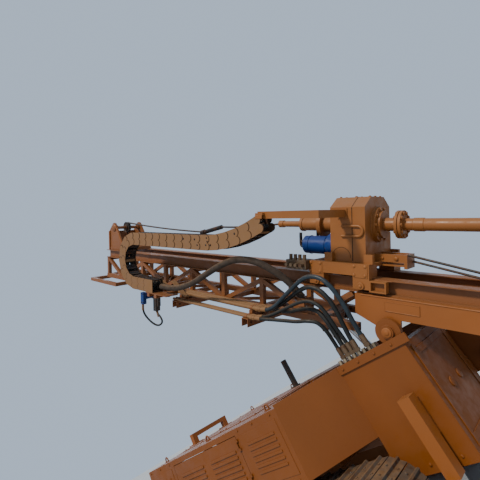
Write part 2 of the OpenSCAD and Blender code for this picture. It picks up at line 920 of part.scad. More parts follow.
module drill_pipe() {
    color("peru")
        on_mast()
            difference() {
                rod_x(0, spindle_b, pipe_r, -pipe_reach, shaft_end);
                rod_x(0, spindle_b, pipe_r - 12, -pipe_reach - bite, shaft_end - 60);
            }
}

module along_cylinder() {
    translate([cyl_foot_x, 0, cyl_foot_z])
        rotate([0, -cyl_slope, 0])
            children();
}

module tilt_barrels() {
    bore_r = rod_r + pin_gap;
    color("chocolate")
        on_carrier()
            along_cylinder()
                both_sides()
                    difference() {
                        union() {
                            rod_x(cyl_y, 0, barrel_r, 70, barrel_length);
                            rod_x(cyl_y, 0, barrel_r + 8, barrel_length - 70, barrel_length);
                            rod_y(0, 0, eye_r, cyl_y - eye_half, cyl_y + eye_half);
                            block([0, cyl_y - eye_half, -eye_r + 10],
                                [80, cyl_y + eye_half, eye_r - 10]);
                        }
                        rod_x(cyl_y, 0, bore_r, 120, barrel_length + bite);
                        rod_y(0, 0, cyl_pin_r + pin_gap, cyl_y - eye_half - bite,
                            cyl_y + eye_half + bite);
                    }
}

module tilt_rods() {
    color("silver")
        on_carrier()
            along_cylinder()
                both_sides() {
                    rod_x(cyl_y, 0, rod_r, rod_start, cyl_span - eye_r + 10);
                    rod_y(cyl_span, 0, eye_r, cyl_y - eye_half, cyl_y + eye_half);
                }
}

// Nose: two side walls, a front wall and the lugs that hold the tilt pins
module nose_frame() {
    wall_top = nose_top;
    color("chocolate")
        on_carrier()
            union() {
                both_sides() {
                    block([-nose_front, nose_inner, nose_under], [nose_back, nose_half, wall_top]);
                    side_plate([[-nose_front, nose_top - bite], [-70, pivot_z], [70, pivot_z],
                        [150, nose_top - bite]], lug_half, lug_out);
                    rod_y(0, pivot_z, pivot_hub_r + 25, lug_half, lug_out);
                    rod_y(0, pivot_z, pivot_pin_r + 15, lug_out - bite, lug_out + 25);
                    rod_y(0, pivot_z, pivot_pin_r, box_half - box_plate - 50, lug_half + bite);
                    for (y = [cyl_y - eye_half - lug_plate - seat, cyl_y + eye_half + seat])
                        side_plate([[cyl_foot_x - 120, nose_under], [cyl_foot_x - 60, cyl_foot_z + 20],
                            [cyl_foot_x - 30, cyl_foot_z + 60], [cyl_foot_x + 30, cyl_foot_z + 60],
                            [cyl_foot_x + 60, cyl_foot_z + 20], [cyl_foot_x + 120, nose_under]],
                            y, y + lug_plate);
                }
                block([-nose_front, -nose_half, nose_under],
                    [-nose_front + nose_plate, nose_half, nose_top]);
                block([-nose_front, -nose_half, nose_top - 20], [120, nose_half, nose_top]);
                block([-nose_front, -nose_half, nose_under], [nose_back, nose_half, nose_under + 40]);
                rod_y(cyl_foot_x, cyl_foot_z, cyl_pin_r, -cyl_y - eye_half - lug_plate,
                    cyl_y + eye_half + lug_plate);
            }
}

// Deck sides that widen from the nose to the engine house
module front_deck() {
    color("peru")
        on_carrier() {
            both_sides() {
                translate([0, 0, house_floor])
                    linear_extrude(height = nose_top - house_floor + lip_height)
                        polygon([[nose_back + seat, nose_half - nose_plate], [nose_back + seat,
                            nose_half],
                            [house_start - seat, house_half], [house_start - seat,
                            house_half - nose_plate]]);
                translate([0, 0, nose_top - 20])
                    linear_extrude(height = 20)
                        polygon([[nose_back + seat, well_half], [nose_back + seat, nose_half],
                            [house_start - seat, house_half - bite], [house_start - seat, well_half]]);
                translate([0, 0, house_floor])
                    linear_extrude(height = 20)
                        polygon([[nose_back + seat, well_half], [nose_back + seat, nose_half],
                            [house_start - seat, house_half - bite], [house_start - seat, well_half]]);
                block([nose_back + seat, well_half, house_floor],
                    [house_start - seat, well_half + 20, nose_top]);
            }
            both_sides()
                block([-nose_front - 70, nose_half + seat, lip_z],
                    [nose_back + 10, nose_half + lip_width, lip_z + lip_height]);
        }
}

module engine_house() {
    door_z = (house_floor + house_top - door_height) / 2;
    color("peru")
        on_carrier()
            difference() {
                union() {
                    difference() {
                        block([house_start, -house_half, house_floor],
                            [house_end, house_half, house_top]);
                        block([house_start + wall, -house_half + wall, house_floor + wall],
                            [house_end - wall, house_half - wall, house_top - wall]);
                    }
                    both_sides()
                        block([house_start + wall, well_half, house_floor],
                            [well_end, well_half + wall, house_top - bite]);
                    block([well_end - wall, -well_half - bite, house_floor],
                        [well_end, well_half + bite, house_top - bite]);
                }
                block([house_start - bite, -well_half, house_floor - bite],
                    [well_end - wall, well_half, house_top + bite]);
                both_sides()
                    block([door_start - door_gap, house_half - wall - 2, door_z - door_gap],
                        [door_start + door_length + door_gap, house_half + 2,
                        door_z + door_height + door_gap]);
                block([house_end - wall - 2, -700, house_floor + 90],
                    [house_end + 2, 700, house_top - 90]);
            }
    color("peru")
        on_carrier()
            both_sides()
                hinge_lugs(door_z);
}

// Hinges: the door's knuckles turn between two lugs of the house
hinge_r = 9;
hinge_out = 12;
hinge_length = 60;
hinge_lug = 25;
function hinge_levels(door_z) = [door_z + 60, door_z + door_height - 120];

module hinge_lugs(door_z) {
    for (z = hinge_levels(door_z), low = [z - seat - hinge_lug, z + hinge_length + seat]) {
        translate([door_start + 2, house_half + hinge_out, low])
            cylinder(r = hinge_r, h = hinge_lug);
        block([door_start - 30, house_half - bite, low],
            [door_start - door_gap, house_half + hinge_out + hinge_r - 3, low + hinge_lug]);
        block([door_start - door_gap - bite, house_half + 4, low],
            [door_start + 2, house_half + hinge_out + hinge_r - 3, low + hinge_lug]);
    }
}

module door() {
    door_z = (house_floor + house_top - door_height) / 2;
    block([door_start, house_half - wall, door_z],
        [door_start + door_length, house_half, door_z + door_height]);
    for (z = hinge_levels(door_z)) {
        translate([door_start + 2, house_half + hinge_out, z])
            cylinder(r = hinge_r, h = hinge_length);
        block([door_start + 2, house_half - bite, z],
            [door_start + 40, house_half + hinge_out, z + hinge_length]);
    }
    block([door_start + door_length - 160, house_half - bite, door_z + door_height / 2 - 15],
        [door_start + door_length - 60, house_half + 16, door_z + door_height / 2 + 15]);
}

module door_far() {
    color("peru")
        on_carrier()
            door();
}

module door_near() {
    color("peru")
        on_carrier()
            mirror([0, 1, 0])
                door();
}

engine_length = 1000;
engine_half = 350;
engine_start = house_end - engine_length - 700;

module engine_block() {
    color("dimgray")
        on_carrier() {
            block([engine_start, -engine_half, house_floor + wall + seat],
                [engine_start + engine_length, engine_half, house_top - wall - 60]);
            block([engine_start + engine_length - bite, -engine_half + 70, house_floor + 120],
                [engine_start + engine_length + 120, engine_half - 70, house_top - wall - 80]);
        }
}

module rear_grille() {
    slat = 16;
    gap = 34;
    z0 = house_floor + 90 + seat;
    z1 = house_top - 90 - seat;
    color("dimgray")
        on_carrier() {
            for (y = [-700 + 2, -10, 680 - 2])
                block([house_end - 26, y, z0], [house_end - 6, y + 20, z1]);
            for (z = [z0 : slat + gap : z1 - slat])
                block([house_end - 22, -700 + 2 + bite, z], [house_end - 10, 700 - 2 - bite, z + slat]);
        }
}

exhaust_x = house_end - 1500;
exhaust_y = house_half - 260;
exhaust_r = 40;

module exhaust_stack() {
    color("dimgray")
        on_carrier()
            difference() {
                union() {
                    translate([exhaust_x, exhaust_y, house_top + seat])
                        cylinder(r = 70, h = 20);
                    translate([exhaust_x, exhaust_y, house_top + seat])
                        cylinder(r = exhaust_r + 5, h = 420);
                }
                translate([exhaust_x, exhaust_y, house_top + 60])
                    cylinder(r = exhaust_r, h = 500);
            }
}

// Rest that the lowered mast lies near
module mast_rest() {
    rest_x = house_end - 150;
    rest_top = house_top + 150;
    color("chocolate")
        on_carrier() {
            both_sides() {
                block([rest_x - 40, 270, house_top + seat], [rest_x + 40, 350, rest_top]);
                block([rest_x - 90, 230, house_top + seat], [rest_x + 90, 390, house_top + 16]);
            }
            block([rest_x - 40, -350, rest_top - 60], [rest_x + 40, 350, rest_top]);
        }
}

// Row of hose fittings behind the nose's near lip
fitting_count = 8;
fitting_r = 22;
fitting_y = 30 - nose_half;
fitting_pitch = 63;
fitting_top = nose_top + 120;
function fitting_x(i) = 195 + i * fitting_pitch;

module hose_bulkhead() {
    color("silver")
        on_carrier() {
            block([165, fitting_y - 28, nose_top + seat],
                [nose_back - 4, fitting_y + 28, nose_top + 12]);
            for (i = [0 : fitting_count - 1])
                translate([fitting_x(i), fitting_y, nose_top + 10]) {
                    cylinder(r = fitting_r + 6, h = 40, $fn = 6);
                    cylinder(r = fitting_r, h = fitting_top - nose_top - 10);
                }
        }
}

// Hoses: each follows its own points, in carrier places, from the hard tubes over
// to the fittings on the nose
thick_hose_r = 24;
thin_hose_r = 20;
sleeve_r = 40;
winch_hose_r = 16;
hose_sides = 8;

function from_mast(a, y, b) = [a * cos(mast_angle) - b * sin(mast_angle), y,
    pivot_z + a * sin(mast_angle) + b * cos(mast_angle)];
function unit(v) = v / norm(v);

top_route = concat([from_mast(upper_start - seat, -520, upper_b)],
    [[1115, -525, 2375], [985, -535, 2355], [850, -550, 2365], [650, -578, 2380],
        [450, -600, 2390], [325, -610, 2365], [225, -610, 2285], [180, -600, 2165], [175, -580, 2035],
        [195, -550, 1905], [230, -510, 1780], [255, -475, 1660]],
    [[fitting_x(1), fitting_y, fitting_top + seat]]);
middle_route = concat([from_mast(upper_start - seat, -460, upper_b)],
    [[1115, -465, 2370], [935, -487, 2338], [750, -513, 2331], [565, -540, 2325],
        [430, -555, 2290], [335, -560, 2195], [305, -550, 2060], [320, -525, 1925], [355, -495, 1795],
        [380, -475, 1660]],
    [[fitting_x(3), fitting_y, fitting_top + seat]]);
inner_route = concat([from_mast(upper_start - seat, -400, upper_b)],
    [[1125, -405, 2360], [1015, -420, 2280], [895, -440, 2220], [770, -455, 2180], [645, -465, 2130],
        [550, -475, 2045], [515, -480, 1925], [510, -475, 1790], [510, -470, 1660]],
    [[fitting_x(5), fitting_y, fitting_top + seat]]);
outer_route = concat([from_mast(lower_start - seat, -575, lower_b)],
    [[1150, -580, 2315], [1040, -580, 2285], [900, -585, 2262], [745, -590, 2240],
        [600, -590, 2212], [490, -590, 2160], [425, -585, 2070], [410, -565, 1955],
        [425, -535, 1850], [440, -495, 1745], [447, -472, 1640]],
    [[fitting_x(4), fitting_y, fitting_top + seat]]);
low_route = concat([from_mast(lower_start - seat, -625, lower_b)],
    [[1150, -625, 2295], [1015, -630, 2220], [880, -630, 2142],
        [745, -630, 2065], [625, -625, 2010], [545, -600, 1945], [530, -560, 1850], [550, -512, 1750],
        [572, -475, 1645]],
    [[fitting_x(6), fitting_y, fitting_top + seat]]);
// The sleeve runs from the chain's fixed end over to the lowest post
clamp_b = 180;
sleeve_route = concat([from_mast(3150, -800, 89)],
    [[2275, -800, 3385], [2075, -800, 3280], [1800, -800, 3190], [1500, -800, 3140],
        [1200, -790, 3087], [980, -760, 3015], [810, -695, 2880], [715, -605, 2700], [670, -505, 2500]],
    [from_mast(post_first + 20, -432, clamp_b + seat)]);
valve_a = winch_a - 110;
valve_y = -205;
valve_b = -560;
winch_loop = [[4325, -398, -500], [4310, -385, -590], [4240, -355, -680], [4130, -315, -755], [4040,
    -280, -775],
    [3985, -250, -740], [4000, -230, -690], [4090, -212, -640], [4160, -206, -610]];
winch_route = concat([from_mast(4325, -400, winch_b - port_drop - seat)],
    [for (p = winch_loop) from_mast(p[0], p[1], p[2])], [from_mast(valve_a, valve_y, valve_b - seat)]);

// Directions in which the hoses leave the tubes and come down on the fittings
down_mast = [-cos(mast_angle), 0, -sin(mast_angle)];
off_mast = [sin(mast_angle), 0, -cos(mast_angle)];
down = [0, 0, -1];

// Tube swept along a route: a ring of points at each of its places. It leaves along
// one direction and ends along another.
module hose_tube(route, r, leave, arrive) {
    last = len(route) - 1;
    rings = [for (i = [0 : last])
        let (along = i == 0 ? leave : i == last ? arrive : unit(route[i + 1] - route[i - 1]),
            side = unit(cross([0, 1, 0], along)), rise = cross(along, side))
        for (k = [0 : hose_sides - 1])
            route[i] + r * (cos(k * 360 / hose_sides) * side + sin(k * 360 / hose_sides) * rise)];
    walls = [for (i = [0 : last - 1], k = [0 : hose_sides - 1])
        let (low = i * hose_sides + k, next = i * hose_sides + (k + 1) % hose_sides)
        for (face = [[low, low + hose_sides, next + hose_sides], [low, next + hose_sides, next]]) face];
    ends = [[for (k = [0 : hose_sides - 1]) k],
        [for (k = [hose_sides - 1 : -1 : 0]) last * hose_sides + k]];
    polyhedron(points = rings, faces = concat(walls, ends));
}

module hose_top() {
    color("dimgray")
        on_carrier()
            hose_tube(top_route, thick_hose_r, down_mast, down);
}

module hose_middle() {
    color("dimgray")
        on_carrier()
            hose_tube(middle_route, thick_hose_r, down_mast, down);
}

module hose_inner() {
    color("dimgray")
        on_carrier()
            hose_tube(inner_route, thick_hose_r, down_mast, down);
}

module hose_outer() {
    color("dimgray")
        on_carrier()
            hose_tube(outer_route, thin_hose_r, down_mast, down);
}

module hose_low() {
    color("dimgray")
        on_carrier()
            hose_tube(low_route, thin_hose_r, down_mast, down);
}

module chain_sleeve() {
    color("dimgray")
        on_carrier()
            hose_tube(sleeve_route, sleeve_r, down_mast, off_mast);
}

module winch_hose() {
    color("dimgray")
        on_carrier()
            hose_tube(winch_route, winch_hose_r, off_mast, -off_mast);
}

module control_console() {
    x0 = -350;
    x1 = 0;
    color("peru")
        on_carrier() {
            block([x0, 620, 780], [x1, 1000, 1250]);
            block([x0 + 60, nose_half + seat, 860], [x0 + 140, 640, 920]);
            block([x1 - 60, nose_half + seat, 860], [x1, 640, 920]);
            block([-nose_front, nose_half + seat, 800], [x1, nose_half + 40, 980]);
        }
}

module console_levers() {
    color("dimgray")
        on_carrier()
            for (i = [0 : 5]) {
                translate([-310 + i * 52, 800, 1250 + seat])
                    cylinder(r = 14, h = 16);
                translate([-310 + i * 52, 800, 1250 + 10])
                    cylinder(r = 5, h = 130);
                translate([-310 + i * 52, 800, 1250 + 150])
                    sphere(r = 17, $fn = 24);
            }
}

// Undercarriage: side frames joined by two cross beams
frame_half = 90;
frame_plate = 30;
frame_z0 = 265;
frame_z1 = 500;
frame_x0 = axle_front + wheel_r + 30;
frame_x1 = axle_back - wheel_r - 30;
drive_r = 150;

module side_frames() {
    frame_in = track_y - frame_half;
    table_z0 = 560;
    table_z1 = 700;
    color("saddlebrown")
        on_carrier() {
            both_sides() {
                block([frame_x0, frame_in, frame_z0], [frame_x1, track_y + frame_half, frame_z1]);
                for (y = [frame_in, track_y + frame_half - frame_plate])
                    block([axle_front - 80, y, frame_z0],
                        [frame_x0 - seat, y + frame_plate, frame_z1 - 40]);
                block([frame_x1 + seat, frame_in, frame_z0],
                    [axle_back + drive_r, frame_in + frame_plate, frame_z1 - 20]);
            }
            for (x = [frame_x0 + 165, frame_x1 - 375])
                block([x, -frame_in + seat, 300], [x + 260, frame_in - seat, table_z0]);
            block([nose_back - 60, -350, table_z0 + seat], [frame_x1 + 165, 350, table_z1]);
            for (x = [frame_x0 + 185, frame_x1 - 235])
                block([x, -620, table_z1 + seat], [x + 200, 620, house_floor - seat]);
        }
}

// Outline of a track's outer side, of half height r, in the side plane
module loop_shape(r) {
    hull_x = axle_span;
    union() {
        translate([axle_front, end_r])
            circle(r = r, $fn = 64);
        translate([axle_back, end_r])
            circle(r = r, $fn = 64);
        translate([axle_front, end_r - r])
            square([hull_x, 2 * r]);
    }
}

function loop_length() = 2 * axle_span + 2 * PI * tread_r;
// Place and turn of a shoe that stands s along the loop from the front of the lower run
function shoe_at(s) =
    s < axle_span ? [axle_front + s, end_r - tread_r, 0]
    : s < axle_span + PI * tread_r ?
        let (turn = (s - axle_span) / tread_r * 180 / PI)
        [axle_back + tread_r * sin(turn), end_r - tread_r * cos(turn), turn]
    : s < 2 * axle_span + PI * tread_r ?
        [axle_back - (s - axle_span - PI * tread_r), end_r + tread_r, 180]
    : let (turn = 180 + (s - 2 * axle_span - PI * tread_r) / tread_r * 180 / PI)
        [axle_front + tread_r * sin(turn), end_r - tread_r * cos(turn), turn];

// Lengths of a track that lie along the carrier: [front end, back end]
run_inset = 40;
track_parts = [
    [track_start - bite, axle_front + run_inset],
    [axle_front + run_inset + seat, axle_back - run_inset - seat],
    [axle_back - run_inset, track_start + track_length + bite]
];

// Outline of a whole track with the grousers of its shoes
module track_outline() {
    shoe_count = floor(loop_length() / shoe_pitch);
    step = loop_length() / shoe_count;
    difference() {
        union() {
            loop_shape(tread_r);
            for (i = [0 : shoe_count - 1]) {
                place = shoe_at((i + 0.5) * step);
                translate([place[0], place[1]])
                    rotate(place[2])
                        translate([-9, -grouser])
                            square([18, grouser + 6]);
            }
        }
        loop_shape(tread_r - band);
    }
}

module track() {
    translate([0, track_y + shoe_width / 2, 0])
        rotate([90, 0, 0])
            for (part = track_parts)
                linear_extrude(height = shoe_width)
                    intersection() {
                        track_outline();
                        translate([part[0], -bite])
                            square([part[1] - part[0], track_height + 2 * bite]);
                    }
}

module track_near() {
    color("dimgray")
        on_carrier()
            mirror([0, 1, 0])
                track();
}

module track_far() {
    color("dimgray")
        on_carrier()
            track();
}

module sprockets() {
    drive_y = track_y - frame_half + frame_plate + seat;
    color("dimgray")
        on_carrier()
            both_sides() {
                rod_y(axle_back, end_r, wheel_r, track_y - 35, track_y + 35);
                rod_y(axle_back, end_r, drive_r, drive_y, track_y + frame_half - 20);
            }
}

module idlers() {
    color("dimgray")
        on_carrier()
            both_sides() {
                rod_y(axle_front, end_r, wheel_r, track_y - 50, track_y + 50);
                rod_y(axle_front, end_r, 60, track_y - frame_half + frame_plate + seat,
                    track_y + frame_half - frame_plate - seat);
            }
}

roller_r = 85;
top_roller_r = 60;

module track_rollers() {
    roller_x0 = axle_front + wheel_r + roller_r + 20;
    low = end_r - tread_r + band + roller_r + seat;
    high = end_r + tread_r - band - top_roller_r - seat;
    color("dimgray")
        on_carrier()
            both_sides() {
                for (i = [0 : roller_count - 1]) {
                    x = roller_x0 + i * (axle_span - 2 * (wheel_r + roller_r + 20)) / (roller_count - 1);
                    for (side = [-1, 1])
                        rod_y(x, low, roller_r, track_y + side * 55 - 30, track_y + side * 55 + 30);
                    rod_y(x, low, roller_r - 20, track_y - 55, track_y + 55);
                }
                for (x = [axle_front + axle_span / 3, axle_front + axle_span * 2 / 3])
                    rod_y(x, high, top_roller_r, track_y - 60, track_y + 60);
            }
}

// Jacks: [place, side] of each square sleeve
jack_half = 620;
jack_front_x = 130;
jack_rear_x = house_end - 120;
sleeve_z0 = 420;
sleeve_z1 = 1050;

module jack_sleeve(x, z1) {
    inner = sleeve_size / 2 - sleeve_wall;
    difference() {
        block([x - sleeve_size / 2, jack_half - sleeve_size / 2, sleeve_z0],
            [x + sleeve_size / 2, jack_half + sleeve_size / 2, z1]);
        block([x - inner, jack_half - inner, sleeve_z0 - bite], [x + inner, jack_half + inner, z1 - 20]);
    }
}

module jack_sleeves() {
    color("peru")
        on_carrier()
            both_sides() {
                jack_sleeve(jack_front_x, sleeve_z1);
                block([jack_front_x - 40, nose_half + seat, 700],
                    [jack_front_x + 40, jack_half - sleeve_size / 2 + bite, 1000]);
                jack_sleeve(jack_rear_x, house_floor - seat);
            }
}

module jack_leg(x, z1) {
    half = sleeve_size / 2 - sleeve_wall - leg_gap;
    block([x - half, jack_half - half, jack_clear + 40], [x + half, jack_half + half, z1 - 40]);
    translate([x, jack_half, jack_clear])
        cylinder(r = jack_foot_r, h = 25);
    translate([x, jack_half, jack_clear + 20])
        cylinder(r = half - 8, h = 40);
}

module jack_leg_front_far() {
    color("silver")
        on_carrier()
            jack_leg(jack_front_x, sleeve_z1);
}

module jack_leg_front_near() {
    color("silver")
        on_carrier()
            mirror([0, 1, 0])
                jack_leg(jack_front_x, sleeve_z1);
}

module jack_leg_rear_far() {
    color("silver")
        on_carrier()
            jack_leg(jack_rear_x, house_floor - seat);
}

module jack_leg_rear_near() {
    color("silver")
        on_carrier()
            mirror([0, 1, 0])
                jack_leg(jack_rear_x, house_floor - seat);
}

mast_rails();
mast_lattice();
mast_crossbars();
cylinder_bracket();
mast_foot();
mast_crown();
crown_sheave();
foot_clamp();
clamp_jaw_near();
clamp_jaw_far();
winch_frame();
winch_drum();
winch_motor();
winch_valve();
tube_channels();
hard_tubes();
chain_tray();
energy_chain();
head_carriage();
head_gearbox();
head_motors();
head_swivel();
chain_arm();
rope_anchor();
head_manifold();
spindle();
drill_pipe();
tilt_barrels();
tilt_rods();
nose_frame();
front_deck();
engine_house();
door_near();
door_far();
engine_block();
rear_grille();
exhaust_stack();
mast_rest();
hose_bulkhead();
hose_top();
hose_middle();
hose_inner();
hose_outer();
hose_low();
chain_sleeve();
winch_hose();
control_console();
console_levers();
side_frames();
track_near();
track_far();
sprockets();
idlers();
track_rollers();
jack_sleeves();
jack_leg_front_near();
jack_leg_front_far();
jack_leg_rear_near();
jack_leg_rear_far();
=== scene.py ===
import math
import random

import bmesh
import bpy
from mathutils import Matrix, Vector


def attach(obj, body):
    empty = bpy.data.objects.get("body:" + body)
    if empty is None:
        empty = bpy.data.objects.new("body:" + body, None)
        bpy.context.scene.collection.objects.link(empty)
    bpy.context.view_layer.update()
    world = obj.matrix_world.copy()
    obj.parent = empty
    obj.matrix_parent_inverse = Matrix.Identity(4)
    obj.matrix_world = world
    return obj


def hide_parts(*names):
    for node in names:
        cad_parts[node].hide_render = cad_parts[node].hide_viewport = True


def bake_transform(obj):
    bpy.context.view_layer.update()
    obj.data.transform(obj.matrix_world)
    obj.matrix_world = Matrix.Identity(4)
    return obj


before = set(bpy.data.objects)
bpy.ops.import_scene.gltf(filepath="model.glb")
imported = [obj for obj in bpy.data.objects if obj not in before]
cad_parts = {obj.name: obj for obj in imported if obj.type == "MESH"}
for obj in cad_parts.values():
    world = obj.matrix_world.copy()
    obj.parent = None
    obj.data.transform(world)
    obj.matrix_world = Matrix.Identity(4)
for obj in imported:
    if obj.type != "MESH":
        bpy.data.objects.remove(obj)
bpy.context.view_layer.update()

random.seed(7)

# Places in metres. Mast places (a, y, b): a runs up the mast from the tilt pins and b
# stands off its rails. Carrier places (x, y, z): x runs back from the tilt pins.
MAST_ANGLE = math.radians(37.0)
PIVOT_Z = 1.55
MAST_TOP = 5.734
FRAME_END = 5.940
FRAME_DEPTH = 0.160
PIPE_REACH = 1.450
SPINDLE_B = 0.981
PIPE_R = 0.0635
RAIL_TOP = 0.456
RAIL_OUT = 0.350
RAIL_MID = 0.275
PIVOT_X = (FRAME_END * math.cos(MAST_ANGLE) + FRAME_DEPTH * math.sin(MAST_ANGLE)
           - PIPE_REACH * math.cos(MAST_ANGLE) - (SPINDLE_B + PIPE_R) * math.sin(MAST_ANGLE)) / 2
CHORD_Y = 0.310
NOSE_HALF = 0.500
NOSE_TOP = 1.410
NOSE_FRONT = 0.085
HOUSE_START = 1.165
HOUSE_END = 4.000
HOUSE_HALF = 1.080
HOUSE_FLOOR = 0.810
HOUSE_TOP = 1.460
TRACK_Y = 0.875


def mast_point(a, y, b):
    """Row place of a mast place."""
    c, s = math.cos(MAST_ANGLE), math.sin(MAST_ANGLE)
    return Vector((PIVOT_X - a * c + b * s, y, PIVOT_Z + a * s + b * c))


def deck_point(x, y, z):
    """Row place of a carrier place."""
    return Vector((PIVOT_X - x, y, z))


def add_object(name, data):
    """New object in the scene."""
    item = bpy.data.objects.new(name, data)
    bpy.context.scene.collection.objects.link(item)
    return item


# Camera, from the photograph's vanishing points
def make_camera():
    data = bpy.data.cameras.new("camera")
    camera = add_object("camera", data)
    right = Vector((0.56721, 0.68757, -0.45335))
    up = Vector((0.61386, 0.01403, 0.78930))
    back = Vector((0.54906, -0.72598, -0.41412))
    place = Vector((PIVOT_X + 1.732, -3.825, PIVOT_Z + 0.098))
    turn = Matrix((right, up, back)).transposed().to_4x4()
    camera.matrix_world = Matrix.Translation(place) @ turn
    data.sensor_width = 36
    data.lens = 27.08  # 361 pixels of a picture 480 wide
    data.shift_y = -0.054
    data.clip_end = 200
    bpy.context.scene.camera = camera


make_camera()


# Materials
class Shading:
    """Builds one material's nodes. Patterns are laid out in the row frame, in metres."""

    def __init__(self, name, rough, metal=0.0):
        self.material = bpy.data.materials.new(name)
        self.material.use_nodes = True
        self.tree = self.material.node_tree
        self.shader = self.tree.nodes["Principled BSDF"]
        self.shader.inputs["Roughness"].default_value = rough
        self.shader.inputs["Metallic"].default_value = metal
        self.shader.inputs["Specular IOR Level"].default_value = 0.35
        self.place = self.tree.nodes.new("ShaderNodeTexCoord").outputs["Object"]

    def link(self, source, target):
        self.tree.links.new(source, target)

    def noise(self, scale, detail, rough=0.6, stretch=(1, 1, 1)):
        mapping = self.tree.nodes.new("ShaderNodeMapping")
        mapping.inputs["Scale"].default_value = stretch
        self.link(self.place, mapping.inputs["Vector"])
        node = self.tree.nodes.new("ShaderNodeTexNoise")
        node.inputs["Scale"].default_value = scale
        node.inputs["Detail"].default_value = detail
        node.inputs["Roughness"].default_value = rough
        self.link(mapping.outputs["Vector"], node.inputs["Vector"])
        return node.outputs["Fac"]

    def span(self, source, low, high, to_low=0.0, to_high=1.0):
        node = self.tree.nodes.new("ShaderNodeMapRange")
        node.interpolation_type = "SMOOTHSTEP"
        for name, value in (("From Min", low), ("From Max", high), ("To Min", to_low), ("To Max", to_high)):
            node.inputs[name].default_value = value
        self.link(source, node.inputs["Value"])
        return node.outputs["Result"]

    def times(self, a, b):
        node = self.tree.nodes.new("ShaderNodeMath")
        node.operation = "MULTIPLY"
        self.link(a, node.inputs[0])
        self.link(b, node.inputs[1])
        return node.outputs["Value"]

    def mix(self, factor, a, b):
        node = self.tree.nodes.new("ShaderNodeMix")
        node.data_type = "RGBA"
        self.link(factor, node.inputs["Factor"])
        for source, socket in ((a, node.inputs["A"]), (b, node.inputs["B"])):
            if isinstance(source, tuple):
                socket.default_value = (*source, 1)
            else:
                self.link(source, socket)
        return node.outputs["Result"]

    def upward(self):
        geometry = self.tree.nodes.new("ShaderNodeNewGeometry")
        parts = self.tree.nodes.new("ShaderNodeSeparateXYZ")
        self.link(geometry.outputs["Normal"], parts.inputs["Vector"])
        return self.span(parts.outputs["Z"], 0.15, 0.95)

    def bump(self, source, depth):
        node = self.tree.nodes.new("ShaderNodeBump")
        node.inputs["Strength"].default_value = 0.6
        node.inputs["Distance"].default_value = depth
        self.link(source, node.inputs["Height"])
        self.link(node.outputs["Normal"], self.shader.inputs["Normal"])

    def color(self, source):
        self.link(source, self.shader.inputs["Base Color"])

    def rough(self, source):
        self.link(source, self.shader.inputs["Roughness"])


DUST = (0.24, 0.135, 0.062)
RUST = (0.075, 0.030, 0.013)


def darker(color, share):
    return tuple(c * share for c in color)


def paint(name, color, dust=0.30, chips=0.25, gloss=0.45):
    """Sprayed machine paint: slightly uneven, dusty on top, faintly streaked on its sides."""
    s = Shading(name, gloss)
    tone = s.mix(s.span(s.noise(1.6, 3.0), 0.30, 0.72), darker(color, 0.90), color)
    streak = s.span(s.noise(6.0, 4.0, 0.6, (2.4, 2.4, 0.28)), 0.54, 0.82, 0.0, 0.22)
    tone = s.mix(streak, tone, darker(color, 0.68))
    settled = s.times(s.upward(), s.span(s.noise(6.0, 5.0), 0.25, 0.70, 0.3 * dust, dust))
    tone = s.mix(settled, tone, DUST)
    speck = s.span(s.noise(38.0, 6.0, 0.65), 0.70, 0.76, 0.0, chips)
    tone = s.mix(speck, tone, RUST)
    s.color(tone)
    s.rough(s.span(s.noise(9.0, 6.0), 0.3, 0.7, gloss - 0.10, gloss + 0.20))
    s.bump(s.noise(160.0, 3.0), 0.0005)
    return s.material


def bare_steel(name, color, rough, grime):
    """Machined steel with an oily film and fine scratches."""
    s = Shading(name, rough, 1.0)
    tone = s.mix(s.span(s.noise(5.0, 7.0), 0.42, 0.66, 0.0, grime), color, darker(color, 0.35))
    s.color(tone)
    s.rough(s.span(s.noise(34.0, 8.0, 0.7, (1, 6, 1)), 0.3, 0.7, rough - 0.08, rough + 0.2))
    s.bump(s.noise(240.0, 4.0, 0.7, (1, 7, 1)), 0.0003)
    return s.material


def cast(name, color, rough=0.62, dust=0.6):
    """Dark cast or oily steel, dusty on top, with rust in its hollows."""
    s = Shading(name, rough, 0.35)
    tone = s.mix(s.span(s.noise(13.0, 7.0, 0.7), 0.44, 0.66), color, RUST)
    settled = s.times(s.upward(), s.span(s.noise(9.0, 6.0), 0.3, 0.6, 0.2, dust))
    tone = s.mix(settled, tone, DUST)
    s.color(tone)
    s.rough(s.span(s.noise(30.0, 5.0), 0.3, 0.7, rough - 0.12, rough + 0.18))
    s.bump(s.noise(120.0, 6.0, 0.7), 0.0012)
    return s.material


def rubber(name, color, dust, sheen=0.55):
    """Hose rubber: fine cloth wrap marks, dust on top and in patches."""
    s = Shading(name, sheen)
    tone = s.mix(s.span(s.noise(16.0, 6.0), 0.40, 0.70), color, darker(color, 0.6))
    settled = s.times(s.upward(), s.span(s.noise(18.0, 7.0, 0.7), 0.34, 0.60, 0.12, dust))
    tone = s.mix(settled, tone, darker(DUST, 0.75))
    smear = s.span(s.noise(26.0, 8.0, 0.7), 0.60, 0.70, 0.0, 0.5)
    tone = s.mix(smear, tone, darker(DUST, 0.5))
    s.color(tone)
    s.rough(s.span(s.noise(20.0, 5.0), 0.3, 0.7, sheen - 0.12, sheen + 0.2))
    s.bump(s.noise(420.0, 3.0), 0.0008)
    return s.material


def floor_finish():
    """Pale, slightly mottled floor."""
    s = Shading("floor", 0.85)
    s.color(s.mix(s.noise(0.5, 6.0), (0.40, 0.41, 0.41), (0.45, 0.46, 0.46)))
    s.bump(s.noise(30.0, 4.0), 0.002)
    return s.material


